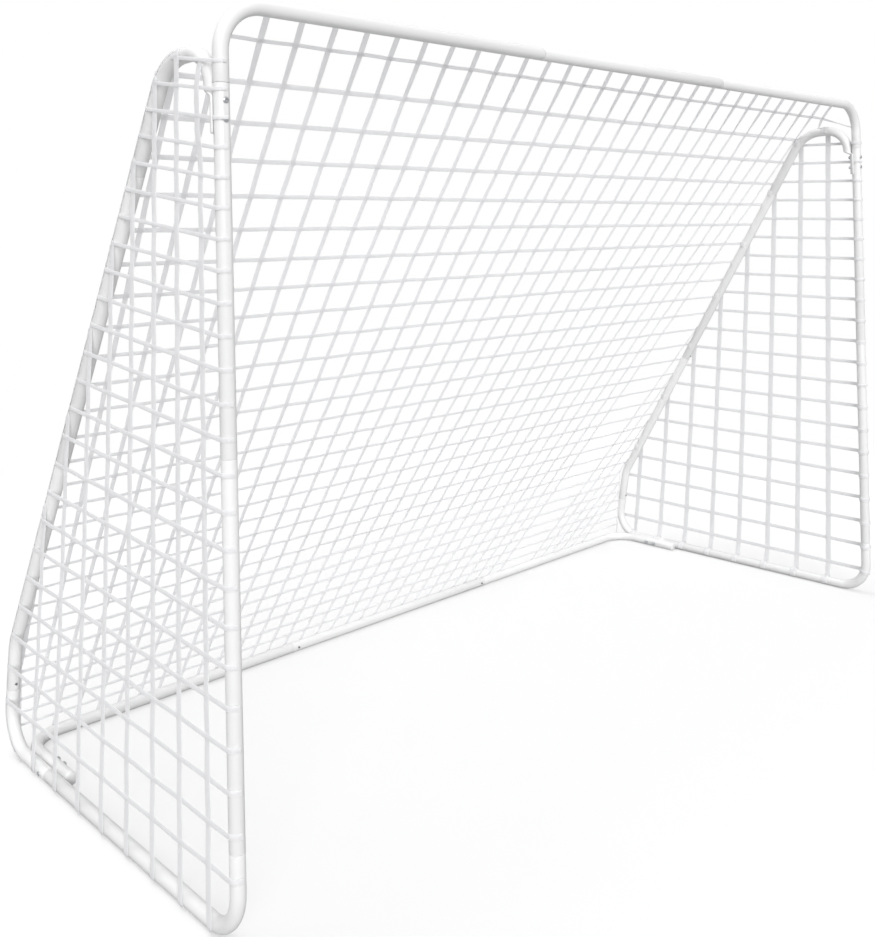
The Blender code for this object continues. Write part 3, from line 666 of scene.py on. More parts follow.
class Skin:
    """Outer skin of a tube being drawn: its open ring of edges is pushed on straight or round a bend."""

    def __init__(self, start, along, radius):
        settings = bpy.context.scene.goal_tubes
        self.shape = bmesh.new()
        self.mark = self.shape.verts.layers.float.new("round_angle")
        self.step = settings.bend_step
        self.centre = start.copy()
        self.along = along.normalized()
        self.radius = radius
        turn = self.along.to_track_quat("Z", "Y").to_matrix().to_4x4()
        turn @= Matrix.Rotation(math.pi / settings.sides, 4, "Z")
        bmesh.ops.create_circle(
            self.shape, segments=settings.sides, radius=radius, matrix=Matrix.Translation(start) @ turn
        )
        self.ring = self.shape.edges[:]

    def points(self):
        """The open end's own vertices."""
        return list({vert for edge in self.ring for vert in edge.verts})

    def push(self, length, radius=None):
        """Extrude the open end straight on, to another radius if one is given."""
        points, self.ring = extruded(self.shape, self.ring)
        bmesh.ops.translate(self.shape, verts=points, vec=self.along * length)
        self.centre += self.along * length
        if radius is not None:
            share = radius / self.radius
            bmesh.ops.scale(
                self.shape,
                verts=points,
                vec=(share, share, share),
                space=Matrix.Translation(-self.centre),
            )
            self.radius = radius

    def reach(self, point):
        """Extrude the open end straight on until it is level with a point."""
        self.push((point - self.centre).dot(self.along))

    def bend(self, turn, radius, towards):
        """Spin the open end through an angle about a centre on its inner side."""
        steps = max(2, round(turn / self.step))
        centre = self.centre + towards * radius
        axis = self.along.cross(towards)
        last = bmesh.ops.spin(
            self.shape,
            geom=self.points() + self.ring,
            cent=centre,
            axis=axis,
            angle=turn,
            steps=steps,
        )["geom_last"]
        self.ring = [item for item in last if isinstance(item, bmesh.types.BMEdge)]
        rotation = Matrix.Rotation(turn, 3, axis)
        self.centre = centre + rotation @ (self.centre - centre)
        self.along = rotation @ self.along

    def follow(self, corners, radii):
        """Run along corners, each inner one bent to its radius, and stop before the last of them."""
        for before, corner, after, radius in zip(corners, corners[1:], corners[2:], radii):
            onward = (after - corner).normalized()
            turn = self.along.angle(onward)
            self.reach(corner - self.along * radius * math.tan(turn / 2))
            towards = (onward - self.along * onward.dot(self.along)).normalized()
            self.bend(turn, radius, towards)
            self.along = onward

    def walled(self, name):
        """Give the skin its wall."""
        bmesh.ops.remove_doubles(self.shape, verts=self.shape.verts, dist=1e-7)
        bmesh.ops.recalc_face_normals(self.shape, faces=self.shape.faces)
        obj = to_object(name, self.shape)
        wall = obj.modifiers.new("wall", "SOLIDIFY")
        wall.thickness = TUBE_WALL
        wall.offset = -1
        wall.use_even_offset = True
        return apply_modifiers(obj)


def round_edges(obj):
    """Round the rims that a cut or a swage leaves on a tube."""
    bevel = obj.modifiers.new("edge", "BEVEL")
    bevel.width = bpy.context.scene.goal_tubes.edge
    bevel.segments = 2
    bevel.limit_method = "ANGLE"
    bevel.angle_limit = RIM_ANGLE
    return apply_modifiers(obj)


def paint(tube, node):
    """Round a tube's rims, paint it and put it in the place of its node."""
    return dress(round_edges(tube), "white_paint", "frame", node)


def start_tube(seam, along, spigot):
    """Begin a tube at a seam: a spigot reaches back past it, and a plain mouth starts just after it."""
    if not spigot:
        return Skin(seam + along * CLEARANCE, along, TUBE_RADIUS)
    skin = Skin(seam - along * SPIGOT_LENGTH, along, SPIGOT_RADIUS - LEAD_IN / 2)
    skin.push(LEAD_IN, SPIGOT_RADIUS)
    skin.push(SPIGOT_LENGTH - LEAD_IN)
    skin.push(NECK_LENGTH, TUBE_RADIUS)
    return skin


def end_tube(skin, seam, spigot):
    """Finish a tube at a seam, with its spigot beyond it or a plain mouth just short of it."""
    if not spigot:
        skin.reach(seam - skin.along * CLEARANCE)
        return
    skin.reach(seam - skin.along * NECK_LENGTH)
    skin.push(NECK_LENGTH, SPIGOT_RADIUS)
    skin.push(SPIGOT_LENGTH - LEAD_IN)
    skin.push(LEAD_IN, SPIGOT_RADIUS - LEAD_IN / 2)


def draw_tube(name, corners, radii, spigot_at_start=False, spigot_at_end=False):
    """Hollow tube through corners in space, its inner corners bent and its ends swaged or plain."""
    skin = start_tube(corners[0], (corners[1] - corners[0]).normalized(), spigot_at_start)
    skin.follow(corners, radii)
    end_tube(skin, corners[-1], spigot_at_end)
    return skin.walled(name)


def hole(obj, placement, radius, low, high):
    """Drill a round hole along the placement's Z between two heights."""
    drill = prism("drill", bpy.context.scene.goal_fasteners.facets, radius, low, high)
    drill.data.transform(placement)
    boolean(obj, drill, "DIFFERENCE")


def leg_bolt_places(x):
    """Placements of the two bolts through a post: Z out of the head, at the head's seat."""
    for level, height in (("low", LOW_LEG_BOLT), ("high", HIGH_LEG_BOLT)):
        yield level, aimed(world(x, -TUBE_FLAT - CLEARANCE, height), Vector((0, -1, 0)), Vector((0, 0, 1)))


def tail_bolt_places(sign):
    """Placements of the two bolts through a ground bar and the rear bar's tail."""
    for level, depth in (("front", FRONT_TAIL_BOLT), ("rear", REAR_TAIL_BOLT)):
        seat = world(sign * (HALF_SPAN + TUBE_FLAT + CLEARANCE), depth, 0)
        yield level, aimed(seat, Vector((sign, 0, 0)), Vector((0, 0, 1)))


def drill_bolts(tube, places, depth):
    """Drill a tube for the bolts at some places, to a depth under their seats counted in tubes."""
    for _, placement in places:
        hole(tube, placement, BOLT_HOLE, -depth * TUBE_DIAMETER, TUBE_DIAMETER)


def drill_button(tube, placement):
    """Drill the near wall of a tube for a spring button."""
    hole(tube, placement, BUTTON_HOLE, BUTTON_HOLE_START, TUBE_DIAMETER)


def button_places():
    """Name, body and placement of each spring button: Z out of the tube, X along it to the spring's bow."""
    for side, sign in SIDES.items():
        for place, point, up in (
            ("leg", leg_point(LEG_BUTTON_HEIGHT), LEG_UP),
            ("stay", stay_point(STAY_BUTTON_HEIGHT), STAY_UP),
        ):
            forward = -outward(up)
            yield f"{place}_{side}", f"{place}_button_{side}", aimed(
                world(sign * HALF_SPAN, point.x, point.y),
                Vector((0, forward.x, forward.y)),
                Vector((0, -up.x, -up.y)),
            )
        seam = HALF_SPAN * (1 - 2 * REAR_BAR_SEAM_SHARE)
        yield f"bar_{side}", f"bar_button_{side}", aimed(
            world(sign * (seam - BUTTON_SETBACK), REAR_BAR_DEPTH, 0), Vector((0, -1, 0)), Vector((sign, 0, 0))
        )


def saddle_point(angle):
    """Where a point of the round leg goes when it is pressed: (across, depth) on a folded-over crescent."""
    inner = TUBE_RADIUS + CLEARANCE
    half = SADDLE_THICKNESS / 2
    middle = inner + half
    spread = SADDLE_SPREAD - math.asin(half / middle)
    cap = SADDLE_RIM_SHARE
    turn = (angle / math.pi) % 2
    if turn < cap:
        turn += 2

    def polar(around, reach, past=0.0):
        """Point on a circle about the post, moved on past the end of the crescent."""
        beyond = math.copysign(past, around)
        return Vector(
            (
                math.sin(around) * reach + math.cos(around) * beyond,
                math.cos(around) * reach - math.sin(around) * beyond,
            )
        )

    if turn <= 1 - cap:
        return polar(spread * (1 - 2 * (turn - cap) / (1 - 2 * cap)), inner)
    if turn < 1 + cap:
        roll = math.pi * (turn - 1 + cap) / (2 * cap)
        return polar(-spread, middle - half * math.cos(roll), half * math.sin(roll))
    if turn <= 2 - cap:
        return polar(spread * (2 * (turn - 1 - cap) / (1 - 2 * cap) - 1), inner + SADDLE_THICKNESS)
    roll = math.pi * (turn - 2 + cap) / (2 * cap)
    return polar(spread, middle + half * math.cos(roll), half * math.sin(roll))


def draw_arc(name, x):
    """Round arc over the top of the stay, its front leg pressed into a saddle that cradles the post."""
    corners = [
        stay_point(STAY_TOP_SEAM),
        SHOULDER,
        Vector((LEG_OFFSET, ARC_HEIGHT)),
        Vector((LEG_OFFSET, SADDLE_TOP)),
    ]
    corners = [world(x, corner.x, corner.y) for corner in corners]
    skin = start_tube(corners[0], (corners[1] - corners[0]).normalized(), False)
    skin.follow(corners, [ARC_SHOULDER_RADIUS, ARC_FRONT_RADIUS])
    skin.reach(corners[-1])
    heart = world(x, 0, 0)
    for vert in skin.points():
        spot = vert.co - heart
        vert[skin.mark] = math.atan2(LEG_OFFSET - spot.y, spot.x)
    drops = [SADDLE_BLEND / SADDLE_STEPS] * SADDLE_STEPS + [SADDLE_TOP - SADDLE_BLEND - ARC_LEG_END]
    for index, drop in enumerate(drops, start=1):
        share = smooth(min(index / SADDLE_STEPS, 1))
        skin.push(drop)
        for vert in skin.points():
            angle = vert[skin.mark]
            start = Vector((math.cos(angle) * TUBE_RADIUS, LEG_OFFSET - math.sin(angle) * TUBE_RADIUS))
            pressed = start.lerp(saddle_point(angle), share)
            vert.co.x, vert.co.y = heart.x + pressed.x, heart.y + pressed.y
    return skin.walled(name)


class OBJECT_OT_goal_front(bpy.types.Operator):
    """Draw the crossbar and the posts"""

    bl_idname = "object.goal_front"
    bl_label = "Crossbar and posts"

    def execute(self, context):
        seam = HALF_SPAN * (1 - 2 * CROSSBAR_SEAM_SHARE)
        middle = [world(-seam, 0, BAR_HEIGHT), world(seam, 0, BAR_HEIGHT)]
        paint(draw_tube("painted_crossbar_middle", middle, []), "crossbar_middle")
        for side, sign in SIDES.items():
            x = sign * HALF_SPAN
            corners = [world(sign * seam, 0, BAR_HEIGHT), world(x, 0, BAR_HEIGHT), world(x, 0, POST_TOP_SEAM)]
            corner = draw_tube(f"painted_crossbar_{side}", corners, [FRONT_CORNER_RADIUS], True, False)
            paint(corner, f"crossbar_corner_{side}")
            for part, low, high in (
                ("lower", POST_FOOT_SEAM, POST_MIDDLE_SEAM),
                ("upper", POST_MIDDLE_SEAM, POST_TOP_SEAM),
            ):
                ends = [world(x, 0, low), world(x, 0, high)]
                post = draw_tube(f"painted_post_{part}_{side}", ends, [], False, True)
                if part == "upper":
                    drill_bolts(post, leg_bolt_places(x), 2)
                paint(post, f"post_{part}_{side}")
        return {"FINISHED"}


class OBJECT_OT_goal_sides(bpy.types.Operator):
    """Draw the ground bars, stays and arcs of both side frames"""

    bl_idname = "object.goal_sides"
    bl_label = "Side frames"

    def execute(self, context):
        buttons = {name: placement for name, _, placement in button_places()}
        leg_seam = leg_point(LEG_BUTTON_HEIGHT) - LEG_UP * BUTTON_SETBACK
        stay_seam = stay_point(STAY_BUTTON_HEIGHT) - STAY_UP * BUTTON_SETBACK
        stay_top = stay_point(STAY_TOP_SEAM)
        for side, sign in SIDES.items():
            x = sign * HALF_SPAN
            ground = world(x, GROUND_SEAM_DEPTH, 0)
            rear = world(x, REAR_CORNER.x, 0)
            leg_end = world(x, leg_seam.x, leg_seam.y)
            knee = world(x, KNEE.x, KNEE.y)
            stay_middle = world(x, stay_seam.x, stay_seam.y)
            stay_end = world(x, stay_top.x, stay_top.y)
            front = [ground, world(x, 0, 0), world(x, 0, POST_FOOT_SEAM)]
            front_foot = draw_tube(f"painted_front_foot_{side}", front, [FRONT_CORNER_RADIUS], False, True)
            rear_foot = draw_tube(
                f"painted_rear_foot_{side}", [ground, rear, leg_end], [REAR_CORNER_RADIUS], True, True
            )
            lower = draw_tube(
                f"painted_stay_lower_{side}", [leg_end, knee, stay_middle], [KNEE_RADIUS], False, True
            )
            upper = draw_tube(f"painted_stay_upper_{side}", [stay_middle, stay_end], [], False, True)
            arc = draw_arc(f"painted_arc_{side}", x)
            drill_bolts(rear_foot, tail_bolt_places(sign), 1.5)
            drill_bolts(arc, leg_bolt_places(x), 2)
            for tube, name in ((rear_foot, "leg"), (lower, "leg"), (lower, "stay"), (upper, "stay")):
                drill_button(tube, buttons[f"{name}_{side}"])
            for tube, node in (
                (front_foot, "front_foot"),
                (rear_foot, "rear_foot"),
                (lower, "stay_lower"),
                (upper, "stay_upper"),
                (arc, "arc"),
            ):
                paint(tube, f"{node}_{side}")
        return {"FINISHED"}


class OBJECT_OT_goal_rear_bar(bpy.types.Operator):
    """Draw the rear bar, whose bent ends lie along the side ground bars and are closed with domed plugs"""

    bl_idname = "object.goal_rear_bar"
    bl_label = "Rear bar"

    def execute(self, context):
        seam = HALF_SPAN * (1 - 2 * REAR_BAR_SEAM_SHARE)
        ends = [world(-seam, REAR_BAR_DEPTH, 0), world(seam, REAR_BAR_DEPTH, 0)]
        middle = draw_tube("painted_rear_bar_middle", ends, [])
        buttons = {name: placement for name, _, placement in button_places()}
        for side, sign in SIDES.items():
            corners = [
                world(sign * seam, REAR_BAR_DEPTH, 0),
                world(sign * TAIL_REACH, REAR_BAR_DEPTH, 0),
                world(sign * TAIL_REACH, TAIL_END_DEPTH, 0),
            ]
            outer = draw_tube(f"painted_rear_bar_{side}", corners, [REAR_BAR_CORNER_RADIUS], True, False)
            drill_bolts(outer, tail_bolt_places(sign), 3)
            for tube in (outer, middle):
                drill_button(tube, buttons[f"bar_{side}"])
            plug = spun("plug", PLUG_PROFILE, context.scene.goal_fasteners.facets)
            plug.data.transform(aimed(corners[-1], Vector((0, -1, 0)), Vector((0, 0, 1))))
            boolean(outer, plug, "UNION")
            paint(outer, f"rear_bar_{side}")
        paint(middle, "rear_bar_middle")
        return {"FINISHED"}


# Bolts, nuts and spring buttons


def make_bolt(name, grip):
    """Button-head bolt along Z with its seat at zero: domed head, hexagon socket and chamfered thread end."""
    settings = bpy.context.scene.goal_fasteners
    head = BOLT_HEAD_DIAMETER / 2
    shank = BOLT_DIAMETER / 2
    end = -(grip + NUT_HEIGHT + BOLT_END + 2 * CLEARANCE) - CLEARANCE
    profile = [(0, BOLT_HEAD_HEIGHT)]
    profile += oval_arc((0, HEAD_EDGE), head, BOLT_HEAD_HEIGHT - HEAD_EDGE, range(15, 91, 15))
    profile += [(head - HEAD_UNDERCUT, 0), (shank, 0), (shank, end + 6 * THREAD_RING)]
    for ring in range(5, 1, -1):
        profile += [
            (shank - THREAD_DEPTH, end + (ring + 0.5) * THREAD_RING),
            (shank, end + ring * THREAD_RING),
        ]
    profile += [(shank - THREAD_END_CHAMFER, end), (0, end)]
    bolt = spun(name, profile, settings.facets)
    corner = settings.socket / math.sqrt(3)
    socket = prism("socket", 6, corner, BOLT_HEAD_HEIGHT - settings.socket_depth, 2 * BOLT_HEAD_HEIGHT)
    boolean(bolt, socket, "DIFFERENCE")
    return bolt


def make_nut(name):
    """Hexagon nut along Z about its middle, its corners turned back by a chamfer on both faces."""
    facets = bpy.context.scene.goal_fasteners.facets
    half = NUT_HEIGHT / 2
    flat = NUT_ACROSS_FLATS / 2
    nut = prism(name, 6, NUT_ACROSS_FLATS / math.sqrt(3), -half, half)
    profile = [
        (0, half),
        (flat * NUT_FACE_SHARE, half),
        (flat * NUT_BLANK_SHARE, half - NUT_CHAMFER),
        (flat * NUT_BLANK_SHARE, NUT_CHAMFER - half),
        (flat * NUT_FACE_SHARE, -half),
        (0, -half),
    ]
    boolean(nut, spun("blank", profile, facets), "INTERSECT")
    boolean(nut, prism("bore", facets, BOLT_HOLE, -NUT_HEIGHT, NUT_HEIGHT), "DIFFERENCE")
    return nut


def placed_copy(obj, name, placement):
    """Copy of a piece with its place worked into its mesh."""
    copy = bpy.data.objects.new(name, obj.data.copy())
    copy.data.transform(placement)
    bpy.context.scene.collection.objects.link(copy)
    return copy


class OBJECT_OT_goal_bolts(bpy.types.Operator):
    """Place the eight bolts and their nuts"""

    bl_idname = "object.goal_bolts"
    bl_label = "Bolts and nuts"

    def execute(self, context):
        nut = make_nut("nut_pattern")
        for kind, grip in (("leg", LEG_GRIP), ("tail", TAIL_GRIP)):
            bolt = make_bolt("bolt_pattern", grip)
            for side, sign in SIDES.items():
                places = leg_bolt_places(sign * HALF_SPAN) if kind == "leg" else tail_bolt_places(sign)
                for level, placement in places:
                    name = f"{kind}_{level}_{side}"
                    seat = placement @ Matrix.Translation((0, 0, -grip - 2 * CLEARANCE - NUT_HEIGHT / 2))
                    one_bolt = placed_copy(bolt, f"plated_bolt_{name}", placement)
                    dress(one_bolt, "zinc", "frame", f"bolt_{name}")
                    one_nut = placed_copy(nut, f"plated_nut_{name}", seat)
                    dress(one_nut, "zinc", "frame", f"nut_{name}")
            bpy.data.objects.remove(bolt, do_unlink=True)
        bpy.data.objects.remove(nut, do_unlink=True)
        return {"FINISHED"}


def spring_arm(height):
    """Upper arm of a leaf spring along X at a height, with the start of its bow."""
    strip = bmesh.new()
    path = [(-SPRING_BACK, height)]
    path += oval_arc((SPRING_REACH, 0), SPRING_BOW_SHARE * height, height, range(0, 41, 10))
    points = [strip.verts.new((reach, -SPRING_WIDTH / 2, level)) for reach, level in path]
    edges = [strip.edges.new(pair) for pair in zip(points, points[1:])]
    moved, _ = extruded(strip, edges)
    bmesh.ops.translate(strip, verts=moved, vec=(0, SPRING_WIDTH, 0))
    bmesh.ops.recalc_face_normals(strip, faces=strip.faces)
    leaf = to_object("leaf", strip)
    gauge = leaf.modifiers.new("gauge", "SOLIDIFY")
    gauge.thickness = SPRING_THICKNESS
    gauge.offset = 0
    return apply_modifiers(leaf)


def make_button(name, facets):
    """Domed button along Z in one piece with the upper arm of its spring."""
    arm = math.sqrt(SPIGOT_BORE**2 - (SPRING_WIDTH / 2) ** 2) - CLEARANCE - SPRING_THICKNESS / 2
    pin = BUTTON_DIAMETER / 2
    top = TUBE_RADIUS + BUTTON_STAND
    shoulder = top - BUTTON_DOME_SHARE * BUTTON_STAND
    dome = oval_arc((0, shoulder), pin, top - shoulder, range(0, 91, 15))
    button = spun(name, dome + [(pin, arm), (0, arm)], facets)
    boolean(button, spring_arm(arm), "UNION")
    return button


class OBJECT_OT_goal_buttons(bpy.types.Operator):
    """Place the six spring buttons, and finish the springs inside the tubes"""

    bl_idname = "object.goal_buttons"
    bl_label = "Spring buttons"

    def execute(self, context):
        facets = context.scene.goal_fasteners.facets
        for name, body, placement in button_places():
            button = make_button(f"steel_button_{name}", facets)
            button.data.transform(placement)
            dress(button, "spring_steel", body, f"button_{name}")
            spring = frame["nodes"][f"button_spring_{name}"]
            spring.data.materials.clear()
            spring.data.materials.append(material_of("spring_steel"))
        return {"FINISHED"}


# Net: how its tapes stand off the tubes and go round them

TAPE_SIDES = 8
BEND_POINTS = 8
TAPE_GAP = 0.002
TAPE_OFFSET = TUBE_RADIUS + TAPE_GAP
WRAP_STEP = math.radians(15)
BORDER_TURN = math.radians(45)
GROUND_TURN = math.radians(30)
FOOT_TURN = math.radians(50)
LEFT_ROW_TURN = math.radians(95)
RIGHT_ROW_TURN = math.radians(240)
OVER_TURN = math.radians(200)
STAY_WRAP_START = math.radians(75)
SADDLE_SWELL = 0.0072
SADDLE_FAR = 0.11
SADDLE_NEAR = 0.05
SADDLE_FADE = 0.03
BOLT_SWELL = 0.0036
BOLT_FAR = 0.05
BOLT_NEAR = 0.014
HEAD_SWELL = 0.0034
HEAD_FAR = 0.016
HEAD_NEAR = 0.011
HEAD_TURN_FAR = math.radians(60)
HEAD_TURN_NEAR = math.radians(30)

# Where its tapes and borders start and end

POST_LINE_DROP = 0.03
CROSSING_MARGIN = 0.012
ROOF_MARGIN = 0.03
COLUMN_TOP = 1.9
COLUMN_PAST_SADDLE = 0.01
BORDER_START = FRONT_CORNER_RADIUS + 0.05
GROUND_HEIGHT = 0.02
LOW_BORDER = 0.0225
EAVE_MARGIN = 0.006
KNEE_MARGIN = 0.001
FOOT_MARGIN = 0.01
ROOF_ROW_RISE = 0.008
BORDER_STEPS = 24
LOW_BORDER_STEPS = 6

# How many tapes there are. The back net's columns count from the left post, some of them past its sides

SIDE_COLUMNS = 8
LEFT_ROWS = 24
RIGHT_ROWS = 21
BACK_ROWS = 29
FIRST_COLUMN = -6
LAST_COLUMN = 35
MIDDLE_COLUMN = 14
LOW_LEVEL = 0.3
HIGH_LEVEL = 1.85


class Net:
    """Tapes of one net, gathered in one mesh, each a flattened ring pushed from station to station."""

    def __init__(self):
        self.settings = bpy.context.scene.goal_net
        self.shape = bmesh.new()
        self.shape.verts.layers.float_vector.new("weave")

    def tape(self, stations):
        """Add a tape through stations of (place, normal, width), flat against the normals."""
        shape = bmesh.new()
        weave = shape.verts.layers.float_vector.new("weave")
        corner = math.cos(math.pi / TAPE_SIDES)
        half_thickness = self.settings.thickness / 2 / corner
        places = [place for place, _, _ in stations]
        before = None
        run = 0.0
        rims = []
        for index, (place, normal, width) in enumerate(stations):
            along = (places[min(index + 1, len(places) - 1)] - places[max(index - 1, 0)]).normalized()
            side = normal.cross(along).normalized()
            up = along.cross(side)
            turn = Matrix((side * width / 2 / corner, up * half_thickness, along)).transposed().to_4x4()
            matrix = Matrix.Translation(place) @ turn
            if before is None:
                first = matrix @ Matrix.Rotation(math.pi / TAPE_SIDES, 4, "Z")
                ring = bmesh.ops.create_circle(shape, segments=TAPE_SIDES, radius=1, matrix=first)["verts"]
                edges = shape.edges[:]
                rims.append(edges)
            else:
                run += (place - places[index - 1]).length
                ring, edges = extruded(shape, edges)
                bmesh.ops.transform(shape, matrix=matrix @ before.inverted(), verts=ring)
            before = matrix
            for vert in ring:
                vert[weave] = (run, (vert.co - place).dot(side), (vert.co - place).dot(up))
        rims.append(edges)
        for rim in rims:
            bmesh.ops.holes_fill(shape, edges=rim)
        bmesh.ops.recalc_face_normals(shape, faces=shape.faces)
        mesh = bpy.data.meshes.new("tape")
        shape.to_mesh(mesh)
        shape.free()
        self.shape.from_mesh(mesh)
        bpy.data.meshes.remove(mesh)

    def finish(self, name, *nodes):
        """Turn the tapes into one piece that stands for its nodes."""
        return dress(to_object(name, self.shape), "twine", "frame", *nodes)


def rounded(corners, radii):
    """Polyline through corners of the side plane, each inner one rounded."""
    path = [corners[0]]
    for before, corner, after, radius in zip(corners, corners[1:], corners[2:], radii):
        back, on = (before - corner).normalized(), (after - corner).normalized()
        half = back.angle(on) / 2
        centre = corner + (back + on).normalized() * radius / math.sin(half)
        first = (corner + back * radius / math.tan(half) - centre).normalized()
        last = (corner + on * radius / math.tan(half) - centre).normalized()
        shares = [step / BEND_POINTS for step in range(BEND_POINTS + 1)]
        path += [centre + first.slerp(last, share) * radius for share in shares]
    return path + [corners[-1]]


def side_outline():
    """Axis of a side frame as a polyline: down the post, along the ground, up the stay, over the arc."""
    corners = [
        Vector((0, BAR_HEIGHT - POST_LINE_DROP)),
        Vector((0, 0)),
        REAR_CORNER,
        KNEE,
        SHOULDER,
        Vector((LEG_OFFSET, ARC_HEIGHT)),
        Vector((LEG_OFFSET, SADDLE_TOP)),
    ]
    radii = [FRONT_CORNER_RADIUS, REAR_CORNER_RADIUS, KNEE_RADIUS, ARC_SHOULDER_RADIUS, ARC_FRONT_RADIUS]
    return rounded(corners, radii)


def crossings(path, point, along):
    """Where a line of the side plane crosses a polyline: (share along the line, place, outward normal)."""
    found = []
    for start, end in zip(path, path[1:]):
        run = end - start
        turn = along.x * run.y - along.y * run.x
        if abs(turn) < 1e-12:
            continue
        gap = start - point
        share = (gap.x * run.y - gap.y * run.x) / turn
        part = (gap.x * along.y - gap.y * along.x) / turn
        if 0 <= part <= 1:
            found.append((share, point + along * share, Vector((run.y, -run.x)).normalized()))
    return sorted(found, key=lambda item: item[0])


def stand_off(depth, height):
    """Distance of the side net's middle from the side frame's plane: it swells over the saddle and bolts."""
    middle = (SADDLE_TOP + ARC_LEG_END) / 2
    tall = (SADDLE_TOP - ARC_LEG_END) / 2
    beside = eased(depth, SADDLE_FAR, SADDLE_NEAR)
    along = eased(abs(height - middle), tall + SADDLE_FADE, tall)
    near_bolt = max(
        eased(math.hypot(depth - bolt, height), BOLT_FAR, BOLT_NEAR)
        for bolt in (FRONT_TAIL_BOLT, REAR_TAIL_BOLT)
    )
    return TAPE_OFFSET + max(SADDLE_SWELL * beside * along, BOLT_SWELL * near_bolt)


def wrapped(sign, axis_point, normal, angle, width, clearance=0.0):
    """Station on a side frame's tube: the angle runs from the outer face towards the normal."""
    reach = TAPE_OFFSET + clearance
    across, over = math.cos(angle), math.sin(angle)
    place = world(
        sign * (HALF_SPAN + reach * across),
        axis_point.x + normal.x * reach * over,
        axis_point.y + normal.y * reach * over,
    )
    return place, Vector((sign * across, normal.x * over, normal.y * over)), width


def wrap(sign, axis_point, normal, start, end, width, clearance=None):
    """Stations round a side frame's tube from one angle to another."""
    steps = max(1, round(abs(end - start) / WRAP_STEP))
    angles = [start + (end - start) * step / steps for step in range(steps + 1)]
    extra = clearance or (lambda angle: 0.0)
    return [wrapped(sign, axis_point, normal, angle, width, extra(angle)) for angle in angles]


def over_bolt(height):
    """Extra clearance round the post's front where a tape meets a bolt's head."""
    near = max(eased(abs(height - bolt), HEAD_FAR, HEAD_NEAR) for bolt in (LOW_LEG_BOLT, HIGH_LEG_BOLT))

    def clearance(angle):
        """Clearance at an angle round the post, most at its front."""
        return HEAD_SWELL * near * eased(abs(angle - math.pi / 2), HEAD_TURN_FAR, HEAD_TURN_NEAR)

    return clearance


